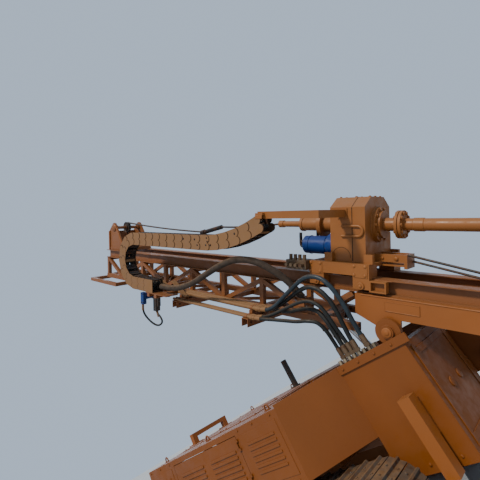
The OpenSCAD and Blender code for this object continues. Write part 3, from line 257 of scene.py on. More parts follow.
ORANGE = paint("orange_paint", (0.265, 0.082, 0.014))
MAST_PAINT = paint("mast_paint", (0.215, 0.078, 0.024), 0.25, 0.35)
HEAD_PAINT = paint("head_paint", (0.270, 0.095, 0.020), 0.45)
BODY_PAINT = paint("body_paint", (0.190, 0.054, 0.006), 0.18, 0.20, 0.48)
TAN = paint("chain_paint", (0.215, 0.107, 0.042), 0.35, 0.15, 0.62)
BLUE = paint("blue_paint", (0.002, 0.028, 0.155), 0.05, 0.10, 0.34)
ZINC = bare_steel("zinc_plate", (0.42, 0.33, 0.22), 0.42, 0.6)
STEEL = bare_steel("bright_steel", (0.56, 0.55, 0.53), 0.26, 0.35)
DARK = cast("dark_steel", (0.060, 0.054, 0.050))
TREAD = cast("tread_steel", (0.085, 0.072, 0.062), 0.58, 0.75)
BLACK = cast("black_steel", (0.018, 0.018, 0.020), 0.45, 0.3)
HOSE = rubber("black_rubber", (0.012, 0.014, 0.014), 0.45)
CLEAN_HOSE = rubber("blue_black_rubber", (0.018, 0.030, 0.040), 0.30, 0.42)
SLEEVE = rubber("sleeve_cloth", (0.050, 0.034, 0.024), 0.85, 0.8)
ROPE = cast("rope_steel", (0.045, 0.040, 0.036), 0.55, 0.4)
# Dark colour of seam lines: grime along the head's joints and welds, and painted shadow under the chain
# links' lobed ends
SEAM = cast("seam_grime_and_shadow", (0.045, 0.026, 0.014), 0.8, 0.1)
FITTING = cast("hose_fitting", (0.13, 0.085, 0.050), 0.5, 0.4)
KNOB = rubber("knob_plastic", (0.012, 0.012, 0.012), 0.15, 0.35)

# Slots of the materials; the others are dark steel
# Nodes that later pieces replace aren't listed
NODE_MATERIALS = {
    MAST_PAINT: ["mast_rails", "mast_lattice", "mast_crossbars", "mast_crown", "tube_channels",
                 "cylinder_bracket", "winch_frame", "chain_tray"],
    HEAD_PAINT: ["head_gearbox", "head_carriage", "chain_arm", "rope_anchor", "head_swivel", "drill_pipe",
                 "spindle"],
    ORANGE: ["mast_foot", "foot_clamp", "tilt_barrels", "jack_sleeves", "side_frames", "mast_rest"],
    BODY_PAINT: ["nose_frame", "front_deck", "engine_house", "door_near", "door_far", "control_console"],
    BLUE: ["head_motors", "winch_motor"],
    TAN: ["hard_tubes"],
    STEEL: ["tilt_rods", "jack_leg_front_near", "jack_leg_front_far", "jack_leg_rear_near",
            "jack_leg_rear_far"],
    ZINC: ["hose_bulkhead"],
    FITTING: ["head_manifold"],
    DARK: ["winch_valve", "crown_sheave", "winch_drum", "clamp_jaw_near", "clamp_jaw_far", "sprockets",
           "idlers", "track_rollers", "rear_grille", "exhaust_stack", "console_levers", "engine_block"],
}
ROUNDED = {
    0.002: ["rear_grille", "hose_bulkhead"],
    0.003: ["cylinder_bracket", "winch_frame", "chain_tray", "head_manifold", "winch_valve", "spindle"],
    0.004: ["mast_rails", "mast_crown", "tube_channels", "head_carriage", "rope_anchor", "head_swivel",
            "mast_foot", "tilt_barrels", "mast_rest", "front_deck", "clamp_jaw_near", "clamp_jaw_far"],
    0.005: ["foot_clamp", "nose_frame", "door_near", "door_far", "head_motors", "winch_motor"],
    0.006: ["mast_lattice", "mast_crossbars", "head_gearbox", "chain_arm", "jack_sleeves", "side_frames"],
    0.008: ["engine_house", "control_console", "engine_block"],
}


def round_edges(item, width):
    """Narrow rounding of an object's sharp edges."""
    bevel = item.modifiers.new("edges", "BEVEL")
    bevel.width = width
    bevel.segments = 2
    bevel.limit_method = "ANGLE"
    bevel.angle_limit = math.radians(32)


def dress_nodes():
    """Gives each node its material, and rounds the edges of most."""
    for material, names in NODE_MATERIALS.items():
        for name in names:
            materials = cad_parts[name].data.materials
            materials.clear()
            materials.append(material)
    for width, names in ROUNDED.items():
        for name in names:
            round_edges(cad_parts[name], width)


dress_nodes()


# Mesh building
def around(radius, count, start=0.0):
    """Offsets of places that stand evenly round a circle."""
    turns = [start + 2 * math.pi * i / count for i in range(count)]
    return [(radius * math.cos(t), radius * math.sin(t)) for t in turns]


def places_round(place, across, offsets):
    """Places round an axis that runs across, or along the first direction of the places."""
    a, y, b = place
    return [(a + u, y, b + v) if across else (a, y + u, b + v) for u, v in offsets]


def circle(middle, side, rise, r, sides):
    """Row places round a middle, in the plane of two directions."""
    return [middle + (side * math.cos(t) + rise * math.sin(t)) * r
            for t in (2 * math.pi * k / sides for k in range(sides))]


class Shape:
    """Gathers solids into one mesh. They are given in mast places or in carrier places."""

    def __init__(self, to_row):
        self.mesh = bmesh.new()
        self.to_row = to_row

    def along(self, direction):
        """Row direction of a direction among the places."""
        return (self.to_row(*direction) - self.to_row(0, 0, 0)).normalized()

    def solid(self, points, faces):
        """Adds a closed surface: faces are lists of places in points."""
        corners = [self.mesh.verts.new(p) for p in points]
        for face in faces:
            self.mesh.faces.new([corners[i] for i in face])

    def box(self, low, high):
        """Block between two opposite corners."""
        xs, ys, zs = zip(low, high)
        points = [self.to_row(x, y, z) for x in xs for y in ys for z in zs]
        self.solid(points, [(0, 1, 3, 2), (4, 6, 7, 5), (0, 4, 5, 1),
                            (2, 3, 7, 6), (0, 2, 6, 4), (1, 5, 7, 3)])

    def slab(self, near, far):
        """Joins two outlines of row places into a plate."""
        count = len(near)
        sides = [(i, (i + 1) % count, count + (i + 1) % count, count + i) for i in range(count)]
        caps = [tuple(range(count)), tuple(range(2 * count - 1, count - 1, -1))]
        self.solid(near + far, sides + caps)

    def plate(self, outline, y0, y1):
        """Flat plate in a side plane: its outline is a list of (a, b) or (x, z)."""
        near, far = ([self.to_row(p[0], y, p[1]) for p in outline] for y in (y0, y1))
        self.slab(near, far)

    def strip(self, line, width, y0, y1):
        """Flat bar in a side plane that follows a line of (a, b) or (x, z) points."""
        left, right = [], []
        for i, p in enumerate(line):
            before = line[max(0, i - 1)]
            after = line[min(len(line) - 1, i + 1)]
            run = Vector((after[0] - before[0], after[1] - before[1])).normalized()
            left.append((p[0] - run[1] * width / 2, p[1] + run[0] * width / 2))
            right.append((p[0] + run[1] * width / 2, p[1] - run[0] * width / 2))
        self.plate(left + right[::-1], y0, y1)

    def rings(self, rings):
        """Joins rings of row places into a tube with closed ends."""
        count = len(rings[0])
        points = [p for ring in rings for p in ring]
        last = len(points) - count
        faces = [(low + k, low + (k + 1) % count, low + count + (k + 1) % count, low + count + k)
                 for low in range(0, last, count) for k in range(count)]
        ends = [tuple(range(count - 1, -1, -1)), tuple(range(last, len(points)))]
        self.solid(points, faces + ends)

    def turned(self, place, direction, profile, sides):
        """Turned part on an axis from a place: its profile is a list of (height, radius)."""
        axis = self.along(direction)
        side = axis.orthogonal().normalized()
        rise = axis.cross(side)
        start = self.to_row(*place)
        self.rings([circle(start + axis * h, side, rise, r, sides) for h, r in profile])

    def bolt(self, place, direction, r):
        """Washer and hexagon head that stand on a face."""
        self.turned(place, direction, [(-0.001, 1.35 * r), (0.16 * r, 1.35 * r)], 16)
        self.turned(place, direction, [(0, r), (0.72 * r, r), (0.85 * r, 0.82 * r)], 6)

    def bolt_circle(self, place, direction, radius, count, r, start=0.0):
        """Bolts round an axis."""
        for spot in places_round(place, direction[1] != 0, around(radius, count, start)):
            self.bolt(spot, direction, r)

    def tube(self, line, r, sides, swell=None):
        """Round tube along row places; swell gives each ring's share of the radius."""
        side = (line[1] - line[0]).orthogonal().normalized()
        rings = []
        for i, p in enumerate(line):
            run = (line[min(i + 1, len(line) - 1)] - line[max(i - 1, 0)]).normalized()
            side = (side - run * side.dot(run)).normalized()
            rings.append(circle(p, side, run.cross(side), r * (swell[i] if swell else 1), sides))
        self.rings(rings)

    def bead(self, points, r):
        """Weld bead between places: a thin uneven ridge."""
        line = [self.to_row(*p) for p in points]
        fine = []
        for p, q in zip(line, line[1:]):
            steps = max(2, int((q - p).length / 0.012))
            fine += [p.lerp(q, i / steps) for i in range(steps)]
        fine.append(line[-1])
        self.tube(fine, r, 6, [0.85 + 0.3 * random.random() for _ in fine])

    def round_bead(self, place, across, radius, r):
        """Weld bead round a hub whose axis runs across, or along the first direction."""
        offsets = around(radius, 40)
        self.bead(places_round(place, across, offsets + offsets[:1]), r)

    def make(self, name, body, material, rounded=0.0):
        """Turns what was gathered into an object that rides on a body, or on none."""
        bmesh.ops.recalc_face_normals(self.mesh, faces=self.mesh.faces)
        data = bpy.data.meshes.new(name)
        self.mesh.to_mesh(data)
        self.mesh.free()
        data.shade_smooth()
        data.set_sharp_from_angle(angle=math.radians(40))
        data.materials.append(material)
        item = add_object(name, data)
        if rounded:
            round_edges(item, rounded)
        if body:
            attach(item, body)
        return item


def shapes(to_row, count):
    """Empty shapes to gather pieces that get different names or materials."""
    return [Shape(to_row) for _ in range(count)]


def smooth_line(points, step=0.012):
    """Curve through places that keeps an even spacing."""
    ends = [points[0] * 2 - points[1], *points, points[-1] * 2 - points[-2]]
    steps = 16
    fine = []
    for p0, p1, p2, p3 in zip(ends, ends[1:], ends[2:], ends[3:]):
        for t in (i / steps for i in range(steps)):
            fine.append(0.5 * (2 * p1 + (p2 - p0) * t + (2 * p0 - 5 * p1 + 4 * p2 - p3) * t * t
                               + (3 * p1 - p0 - 3 * p2 + p3) * t * t * t))
    fine.append(points[-1].copy())
    even, left = [fine[0]], step
    for p, q in zip(fine, fine[1:]):
        length = (q - p).length
        while left <= length:
            even.append(p.lerp(q, left / length))
            left += step
        left -= length
    if (fine[-1] - even[-1]).length < step / 2:
        even.pop()
    return even + [fine[-1]]


# Hoses: their routes repeat part.scad's, in metres
UPPER_END, LOWER_END = 1.5197, 1.5297
UPPER_B, LOWER_B = -0.030, -0.1107
FITTING_Y, FITTING_Z = -0.470, 1.5303
THICK_R, THIN_R, SLEEVE_R, WINCH_HOSE_R = 0.024, 0.020, 0.040, 0.016


def fitting_x(i):
    return 0.195 + 0.063 * i


HOSES = [  # name, radius, its end on the mast, carrier places, fitting, material
    ("hose_top", THICK_R, (UPPER_END, -0.520, UPPER_B),
     [(1.115, -0.525, 2.375), (0.985, -0.535, 2.355), (0.850, -0.550, 2.365), (0.650, -0.578, 2.380),
      (0.450, -0.600, 2.390), (0.325, -0.610, 2.365), (0.225, -0.610, 2.285), (0.180, -0.600, 2.165),
      (0.175, -0.580, 2.035), (0.195, -0.550, 1.905), (0.230, -0.510, 1.780), (0.255, -0.475, 1.660)],
     1, CLEAN_HOSE),
    ("hose_middle", THICK_R, (UPPER_END, -0.460, UPPER_B),
     [(1.115, -0.465, 2.370), (0.935, -0.487, 2.338), (0.750, -0.513, 2.331), (0.565, -0.540, 2.325),
      (0.430, -0.555, 2.290), (0.335, -0.560, 2.195), (0.305, -0.550, 2.060), (0.320, -0.525, 1.925),
      (0.355, -0.495, 1.795), (0.380, -0.475, 1.660)], 3, HOSE),
    ("hose_inner", THICK_R, (UPPER_END, -0.400, UPPER_B),
     [(1.125, -0.405, 2.360), (1.015, -0.420, 2.280), (0.895, -0.440, 2.220), (0.770, -0.455, 2.180),
      (0.645, -0.465, 2.130), (0.550, -0.475, 2.045), (0.515, -0.480, 1.925), (0.510, -0.475, 1.790),
      (0.510, -0.470, 1.660)], 5, HOSE),
    ("hose_outer", THIN_R, (LOWER_END, -0.575, LOWER_B),
     [(1.150, -0.580, 2.315), (1.040, -0.580, 2.285), (0.900, -0.585, 2.262), (0.745, -0.590, 2.240),
      (0.600, -0.590, 2.212), (0.490, -0.590, 2.160), (0.425, -0.585, 2.070), (0.410, -0.565, 1.955),
      (0.425, -0.535, 1.850), (0.440, -0.495, 1.745), (0.447, -0.472, 1.640)], 4, HOSE),
    ("hose_low", THIN_R, (LOWER_END, -0.625, LOWER_B),
     [(1.150, -0.625, 2.295), (1.015, -0.630, 2.220), (0.880, -0.630, 2.142), (0.745, -0.630, 2.065),
      (0.625, -0.625, 2.010), (0.545, -0.600, 1.945), (0.530, -0.560, 1.850), (0.550, -0.512, 1.750),
      (0.572, -0.475, 1.645)], 6, HOSE),
]
# The sleeve's ends are mast places, and its way between them is in carrier places
SLEEVE_START, SLEEVE_END = (3.150, -0.800, 0.089), (0.954, -0.432, 0.1803)
SLEEVE_ROUTE = [(2.275, -0.800, 3.385), (2.075, -0.800, 3.280), (1.800, -0.800, 3.190),
                (1.500, -0.800, 3.140), (1.200, -0.790, 3.087), (0.980, -0.760, 3.015),
                (0.810, -0.695, 2.880), (0.715, -0.605, 2.700), (0.670, -0.505, 2.500)]
# The winch hose is all in mast places
WINCH_ROUTE = [(4.325, -0.400, -0.4203), (4.325, -0.398, -0.500), (4.310, -0.385, -0.590),
               (4.240, -0.355, -0.680), (4.130, -0.315, -0.755), (4.040, -0.280, -0.775),
               (3.985, -0.250, -0.740), (4.000, -0.230, -0.690), (4.090, -0.212, -0.640),
               (4.160, -0.206, -0.610), (4.190, -0.205, -0.5603)]
FERRULE = [(0.0, 0.030, 1.42, 6), (0.030, 0.036, 1.15, 16), (0.036, 0.115, 1.24, 20)]


def hose(name, line, r, material, body):
    """A rubber hose along its line; the part of that name is hidden."""
    shape = Shape(mast_point)
    shape.tube(line, r, 16)
    item = shape.make(name + "_rubber", body, material)
    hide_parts(name)
    return item


def ferrules(shape, line, r):
    """Hexagon nut, neck and crimped sleeve at the start of a hose."""
    axis = (line[1] - line[0]).normalized()
    side = axis.orthogonal().normalized()
    rise = axis.cross(side)
    for low, high, share, sides in FERRULE:
        shape.rings([circle(line[0] + axis * h, side, rise, r * share, sides) for h in (low, high)])


def make_hoses():
    on_mast, on_nose = shapes(mast_point, 2)
    for name, r, start, places, fitting, material in HOSES:
        points = [mast_point(*start)] + [deck_point(*p) for p in places]
        points.append(deck_point(fitting_x(fitting), FITTING_Y, FITTING_Z))
        line = smooth_line(points)
        item = hose(name, line, r, material, None)
        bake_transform(item)
        ferrules(on_mast, line, r)
        ferrules(on_nose, line[::-1], r)
    sleeve = [deck_point(*p) for p in SLEEVE_ROUTE]
    sleeve = smooth_line([mast_point(*SLEEVE_START)] + sleeve + [mast_point(*SLEEVE_END)])
    hose("chain_sleeve", sleeve, SLEEVE_R, SLEEVE, "mast")
    loop = smooth_line([mast_point(*p) for p in WINCH_ROUTE], 0.008)
    hose("winch_hose", loop, WINCH_HOSE_R, HOSE, "mast")
    ferrules(on_mast, loop, WINCH_HOSE_R)
    ferrules(on_mast, loop[::-1], WINCH_HOSE_R)
    on_mast.make("mast_hose_ends", "mast", TAN)
    on_nose.make("nose_hose_ends", "carrier", FITTING)


make_hoses()


# Energy chain: its pins stand on the same line as in part.scad
CHAIN_Y, CHAIN_W, LINK_H, LINK_PITCH, CHAIN_R = 0.800, 0.200, 0.190, 0.176, 0.343
CHAIN_TOP, LOOP_A, DROOP_END, ARM_A, ARM_B, BOTTOM_END = 0.775, 3.770, 2.100, 1.185, 1.010, 3.200
DROOP = math.hypot(DROOP_END - ARM_A, ARM_B - CHAIN_TOP) * 1.01
TOP_RUN = LOOP_A - DROOP_END
TURN_RUN = math.pi * CHAIN_R
CHAIN_LENGTH = DROOP + TOP_RUN + TURN_RUN + LOOP_A - BOTTOM_END
LOBE_REACH = 0.046
BAR_INSET = 0.014
# Bolts that a few links show on their outer side, in mast places (a, b)
CHAIN_BOLTS = [(2.490, 0.814), (2.255, 0.813), (2.202, 0.743), (2.022, 0.838),
               (2.011, 0.795), (2.038, 0.750), (1.959, 0.753), (1.542, 0.901)]
# Hoses in the chain: place across it, radius, height off its middle
CHAIN_HOSES = [(-0.056, 0.022, -0.03), (-0.008, 0.024, -0.02), (0.044, 0.022, -0.03),
               (0.019, 0.015, 0.035)]
CHAIN_HOSE_STEP = 0.05


def chain_at(s):
    """Mast place (a, b) of the chain's middle, s along it from the head's arm."""
    if s < DROOP:
        t = s / DROOP
        return Vector((ARM_A + (DROOP_END - ARM_A) * t, CHAIN_TOP + (ARM_B - CHAIN_TOP) * (1 - t) ** 2))
    if s < DROOP + TOP_RUN:
        return Vector((DROOP_END + s - DROOP, CHAIN_TOP))
    if s < DROOP + TOP_RUN + TURN_RUN:
        t = (s - DROOP - TOP_RUN) / CHAIN_R
        return Vector((LOOP_A + CHAIN_R * math.sin(t), CHAIN_TOP - CHAIN_R + CHAIN_R * math.cos(t)))
    return Vector((LOOP_A - (s - DROOP - TOP_RUN - TURN_RUN), CHAIN_TOP - 2 * CHAIN_R))


def link_plate(shape, p, run, length, side, sink):
    """Side plate of a link: it starts under its neighbour and ends in two round lobes over the next."""
    cross = Vector((-run[1], run[0]))
    r = LINK_H / 2
    outline = [p - cross * r]
    for middle in (-r / 2, r / 2):
        for k in range(9):
            t = -math.pi / 2 + math.pi * k / 8
            out = length + LOBE_REACH * math.cos(t)
            outline.append(p + run * out + cross * (middle + r / 2 * math.sin(t)))
    outline.append(p + cross * r)
    faces = []
    for depth in (0.0, 0.004):
        slopes = [0.006 * (1 - (q - p).dot(run) / (length + LOBE_REACH)) for q in outline]
        faces.append([mast_point(q[0], -CHAIN_Y + side * (CHAIN_W / 2 - sink - depth - slope), q[1])
                      for q, slope in zip(outline, slopes)])
    shape.slab(*faces)


def chain_bar(shape, low, run, cross):
    """Bar across the chain from a corner of its section."""
    along, up = run * 0.040, cross * 0.012
    section = [low, low + along, low + along + up, low + up]
    reach = CHAIN_W / 2 - BAR_INSET
    shape.plate([tuple(q) for q in section], -CHAIN_Y - reach, -CHAIN_Y + reach)


def make_chain():
    count = int(CHAIN_LENGTH / LINK_PITCH)
    pins = [chain_at(i * LINK_PITCH) for i in range(count + 1)]
    plates, seams, tan_bars, dark_bars, bolts, cables = shapes(mast_point, 6)
    r = LINK_H / 2
    for i in range(count):
        run = (pins[i + 1] - pins[i]).normalized()
        span = (pins[i + 1] - pins[i]).length
        cross = Vector((-run[1], run[0]))
        for side in (-1, 1):
            link_plate(plates, pins[i + 1], -run, span, side, 0.0)
            # A dark plate a little longer than each side plate, set just under it: painted shadow below the
            # lobed end of the link
            link_plate(seams, pins[i + 1], -run, span + 0.010, side, 0.0022)
        for z in (-r + 0.006, r - 0.018):
            for u in (0.25, 0.75):
                low = pins[i] + run * (span * u - 0.020) + cross * z
                chain_bar(tan_bars if i % 6 == 0 and u < 0.5 else dark_bars, low, run, cross)
    for a, b in CHAIN_BOLTS:
        bolts.bolt((a, -CHAIN_Y - CHAIN_W / 2 + 0.003, b), (0, -1, 0), 0.010)
    plate_item = plates.make("energy_chain_links", "head", TAN)
    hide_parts("energy_chain")
    seams.make("energy_chain_seam_shadows", "head", SEAM)
    tan_bars.make("energy_chain_bars", "head", TAN, 0.003)
    dark_bars.make("energy_chain_dark_bars", "head", BLACK, 0.003)
    bolts.make("energy_chain_bolts", "head", BLACK)
    for y, size, low in CHAIN_HOSES:
        line = []
        for k in range(int(CHAIN_LENGTH / CHAIN_HOSE_STEP)):
            s = k * CHAIN_HOSE_STEP
            run = (chain_at(s + 0.02) - chain_at(s)).normalized()
            wave = 0.008 * math.sin(0.63 * k + 40 * y)
            p = chain_at(s) + Vector((-run[1], run[0])) * (low + wave)
            line.append(mast_point(p[0], -CHAIN_Y + y, p[1]))
        cables.tube(line, size, 10)
    cables.make("energy_chain_hoses", "head", HOSE)


make_chain()


# Head
GEARBOX_FRONT, GEARBOX_BACK, GEARBOX_HALF = 0.264, 0.654, 0.320
SHOULDER, GEARBOX_TOP, GEARBOX_INNER = 1.171, 1.278, 0.165
GUIDE_HALF = 0.4208
SEAM_A = 0.404
COVER_A, COVER_B, COVER_R = 0.530, 0.645, 0.104
MOTOR_Y, MOTOR_B = 0.190, 0.750


def make_head():
    """Details of the gearbox, its carriage, the arm and the rope anchor."""
    bolts, welds, plates, seams = shapes(mast_point, 4)
    arc = [math.pi * k / 24 for k in range(25)]
    cover = [(COVER_A + COVER_R * math.cos(t), COVER_B + COVER_R * math.sin(t)) for t in arc]
    for side in (-1, 1):
        y = side * GEARBOX_HALF
        seams.box((0.400, y - side * 0.002, 0.612), (0.408, y + side * 0.0015, SHOULDER - 0.004))
        seams.bead([(SEAM_A, y - side * 0.001, SHOULDER),
                    (SEAM_A, side * GEARBOX_INNER, GEARBOX_TOP - 0.001), (SEAM_A, 0.0, GEARBOX_TOP)], 0.004)
        seams.bead([(a, y, b) for a, b in cover], 0.0025)
        welds.bead([(GEARBOX_FRONT + 0.01, y + side * 0.003, 0.606),
                    (GEARBOX_BACK - 0.01, y + side * 0.003, 0.606)], 0.006)
        guide = side * GUIDE_HALF
        for a, b in ((0.342, 0.577), (0.228, 0.577), (0.344, 0.490), (0.230, 0.490)):
            bolts.bolt((a, guide, b), (0, side, 0), 0.016)
            bolts.bolt((a + 0.500, guide, b), (0, side, 0), 0.016)
        for a in (0.275, 0.775):
            plates.turned((a, guide, 0.385), (0, side, 0),
                          [(0, 0.036), (0.0128, 0.036), (0.016, 0.0328)], 32)
            bolts.bolt((a, guide + side * 0.016, 0.385), (0, side, 0), 0.014)
        for a in (0.205, 0.705):
            plates.plate([(a, 0.465), (a + 0.140, 0.465), (a + 0.140, 0.600), (a, 0.600)],
                         guide, guide + side * 0.006)
    bolts.bolt_circle((GEARBOX_FRONT - 0.044, 0, SPINDLE_B), (-1, 0, 0), 0.166, 10, 0.017)
    welds.round_bead((GEARBOX_FRONT - 0.003, 0, SPINDLE_B), False, 0.192, 0.006)
    for y in (-0.13, 0.0, 0.13):
        for a in (0.29, 0.44, 0.62):
            bolts.bolt((a, y, GEARBOX_TOP), (0, 0, 1), 0.013)
    # Arm's welds on the gearbox, and the plate and bolts at its end
    for y in (-0.318, -0.322):
        welds.bead([(0.470, y, 1.068), (0.550, y, 1.068)], 0.005)
    plates.plate([(1.130, 1.068), (1.225, 1.068), (1.225, 1.105), (1.130, 1.105)], -0.905, -0.897)
    for y in (-0.845, -0.755):
        for a in (1.145, 1.205):
            bolts.bolt((a, y, 1.128), (0, 0, 1), 0.012)
    # Nuts on the anchor's cross pins
    for side in (-1, 1):
        bolts.bolt((0.040, side * 0.110, 0.640), (0, side, 0), 0.020)
        bolts.bolt((0.180, side * 0.110, 0.640), (0, side, 0), 0.014)
    bolts.make("head_bolts", "head", HEAD_PAINT)
    seams.make("head_seams", "head", SEAM)
    welds.make("head_welds", "head", HEAD_PAINT)
    plates.make("head_plates", "head", HEAD_PAINT, 0.0015)


def make_spindle():
    nuts, joints = shapes(mast_point, 2)
    for a, direction in ((-0.010, -1), (0.050, 1)):
        nuts.bolt_circle((a, 0, SPINDLE_B), (direction, 0, 0), 0.118, 10, 0.019)
    nuts.make("spindle_nuts", "spindle", HEAD_PAINT)
    for a in (-0.10, -1.30):
        joints.turned((a, 0, SPINDLE_B), (-1, 0, 0),
                      [(0, PIPE_R), (0.006, 0.069), (0.100, 0.069), (0.106, PIPE_R)], 40)
    joints.make("pipe_joints", "spindle", HEAD_PAINT)


def make_motors():
    """Ribs, flange bolts, ports and elbows of the head's two motors, and the swivel's collars."""
    ribs, bolts, ports, pipes, collars = shapes(mast_point, 5)
    for y in (-MOTOR_Y, MOTOR_Y):
        bolts.bolt_circle((0.724, y, MOTOR_B), (1, 0, 0), 0.117, 8, 0.011, 0.2)
        for a in (0.752, 0.965):
            ribs.turned((a, y, MOTOR_B), (1, 0, 0),
                        [(0, 0.102), (0.004, 0.108), (0.012, 0.108), (0.016, 0.102)], 40)
        for side in (-1, 1):
            ports.turned((1.020, y + side * 0.050, MOTOR_B), (0, side, 0),
                         [(0, 0.024), (0.012, 0.024), (0.012, 0.017), (0.040, 0.017), (0.046, 0.012)], 16)
        bolts.bolt((1.070, y, MOTOR_B), (1, 0, 0), 0.016)
        for b in (MOTOR_B - 0.026, MOTOR_B + 0.026):
            elbow = [(1.068, y, b), (1.100, y, b), (1.118, y, b + 0.012), (1.124, y, b + 0.045),
                     (1.124, y, b + 0.110)]
            pipes.tube(smooth_line([mast_point(*p) for p in elbow], 0.008), 0.018, 14)
    ribs.make("motor_ribs", "head", BLUE)
    bolts.make("motor_bolts", "head", DARK)
    ports.make("motor_ports", "head", ZINC)
    pipes.make("motor_elbows", "head", BLACK)
    collars.bolt_circle((0.944, 0, SPINDLE_B), (1, 0, 0), 0.128, 10, 0.013)
    collars.turned((1.180, 0, SPINDLE_B), (1, 0, 0),
                   [(0, 0.081), (0.004, 0.088), (0.040, 0.088), (0.044, 0.081)], 40)
    collars.turned((1.500, 0, SPINDLE_B), (1, 0, 0),
                   [(0, 0.039), (0.002, 0.046), (0.072, 0.046), (0.076, 0.039)], 24)
    collars.make("swivel_collars", "head", HEAD_PAINT)


make_head()
make_spindle()
make_motors()


# Ropes held taut along the mast
WINCH_A, WINCH_B = 4.300, -0.290
ROPE_TURNS, ROPE_PITCH = 22, 0.0105
ROPE_TURN = [(0, 0.0555), (0.003, 0.0615), (0.0055, 0.0630), (0.008, 0.0615), (ROPE_PITCH, 0.0555)]


def rope(shape, start, end, r, sag=0.0):
    """Rope between two mast places that hangs down by its sag at the middle."""
    line = []
    for i in range(41):
        t = i / 40
        p = mast_point(*start).lerp(mast_point(*end), t)
        p.z -= sag * 4 * t * (1 - t)
        line.append(p)
    shape.tube(line, r, 10)


def make_ropes():
    """Hoist ropes and their socket, the winch's rope, and the feed ropes and their lugs."""
    hoist, socket, lead, feed, lugs = shapes(mast_point, 5)
    for y in (-0.018, 0.018):
        rope(hoist, (5.530, y, 0.998), (3.120, y, 0.845), 0.011, 0.03)
    rope(hoist, (2.700, 0.0, 0.930), (1.572, 0.0, 0.981), 0.013, 0.02)
    item = hoist.make("hoist_ropes", None, ROPE)
    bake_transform(item)
    rope(socket, (3.110, 0.0, 0.840), (2.690, 0.0, 0.930), 0.034)
    rope(socket, (3.160, 0.0, 0.830), (3.080, 0.0, 0.847), 0.044)
    item = socket.make("rope_socket", None, BLACK)
    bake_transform(item)
    rope(lead, (4.375, 0.0, -0.245), (5.612, 0.0, 0.865), 0.010)
    for i in range(ROPE_TURNS):
        lead.turned((WINCH_A, -0.112 + i * ROPE_PITCH, WINCH_B), (0, 1, 0), ROPE_TURN, 40)
    lead.make("winch_rope", "mast", ROPE)
    for y, start_b, end_b, r in ((-0.070, 0.677, 0.497, 0.012), (0.050, 0.602, 0.425, 0.009),
                                 (0.080, 0.602, 0.425, 0.009)):
        rope(feed, (-0.060, y, start_b), (-0.985, y, end_b), r)
    item = feed.make("feed_ropes", None, ROPE)
    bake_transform(item)
    for y in (-0.090, -0.062, 0.030, 0.088):
        lugs.plate([(-1.010, 0.300), (-0.940, 0.300), (-0.960, 0.515), (-1.010, 0.515)], y, y + 0.012)
    lugs.make("rope_lugs", "mast", MAST_PAINT, 0.002)


make_ropes()


# Mast details
SHEAVE_A, SHEAVE_B = 5.530, 0.900
POST_FIRST, POST_PITCH, POSTS = 0.934, 0.700, 7
CHANNELS = (1.634, 3.034)
CLAMP_A, FOOT_HALF = -1.210, 0.400
# Hollow cap over a jaw of the clamp, as (height, radius)
CLAMP_CAP = [(0.096, 0.047), (0, 0.047), (0, 0.062), (0.060, 0.062), (0.066, 0.054), (0.104, 0.054)]
# Hard tubes at the channels: y, b, strap's inner radius, its bolt's offset, height and radius
HARD_TUBES = [(y, UPPER_B, 0.0255, 0.030, -0.046, 0.008) for y in (-0.400, -0.460, -0.520)]
HARD_TUBES += [(y, LOWER_B, 0.0195, 0.0255, -0.130, 0.007) for y in (-0.575, -0.625)]


def make_crown():
    plates, bolts, rims = shapes(mast_point, 3)
    for side in (-1, 1):
        out = side * (RAIL_MID + 0.008)
        rims.strip([(MAST_TOP - 0.02, RAIL_TOP + 0.004), (MAST_TOP - 0.02, 0.832)],
                   0.034, out, out + side * 0.022)
        rims.strip([(MAST_TOP - 0.634 + 0.02, RAIL_TOP + 0.006), (5.488, 0.972)],
                   0.026, out, out + side * 0.014)
        plates.turned((SHEAVE_A, out, SHEAVE_B), (0, side, 0),
                      [(0, 0.075), (0.012, 0.075), (0.018, 0.066), (0.034, 0.040)], 32)
        bolts.bolt_circle((SHEAVE_A, out + side * 0.014, SHEAVE_B), (0, side, 0), 0.055, 6, 0.008)
        for a in (5.16, 5.30, 5.44, 5.58, 5.68):
            bolts.bolt((a, out, RAIL_TOP + 0.030), (0, side, 0), 0.013)
        plates.strip([(5.20, RAIL_TOP + 0.030), (5.68, RAIL_TOP + 0.030)], 0.056, out, out + side * 0.010)
    rims.make("crown_rims", "mast", ORANGE, 0.002)
    plates.make("crown_plates", "mast", MAST_PAINT, 0.002)
    bolts.make("crown_bolts", "mast", MAST_PAINT)


def make_lattice_welds():
    """Welds at the posts and on the rails, and end caps on the square tubes."""
    welds, caps = shapes(mast_point, 2)
    cap = [(MAST_TOP, -0.096), (MAST_TOP + 0.004, -0.096), (MAST_TOP + 0.004, -0.024), (MAST_TOP, -0.024)]
    rail_b = RAIL_TOP - 0.012
    for side in (-1, 1):
        y = side * (CHORD_Y + 0.030)
        for i in range(POSTS):
            a = POST_FIRST + POST_PITCH * i
            for b in (-0.020, 0.304):
                welds.bead([(a - 0.030, y, b), (a + 0.030, y, b)], 0.004)
        caps.plate(cap, side * (CHORD_Y - 0.036), side * (CHORD_Y + 0.036))
        for a in (0.0, 1.4, 2.8, 4.2):
            welds.bead([(a, side * RAIL_OUT, rail_b), (a + 0.16, side * RAIL_OUT, rail_b)], 0.003)
    welds.make("lattice_welds", "mast", MAST_PAINT)
    caps.make("chord_caps", "mast", MAST_PAINT, 0.001)


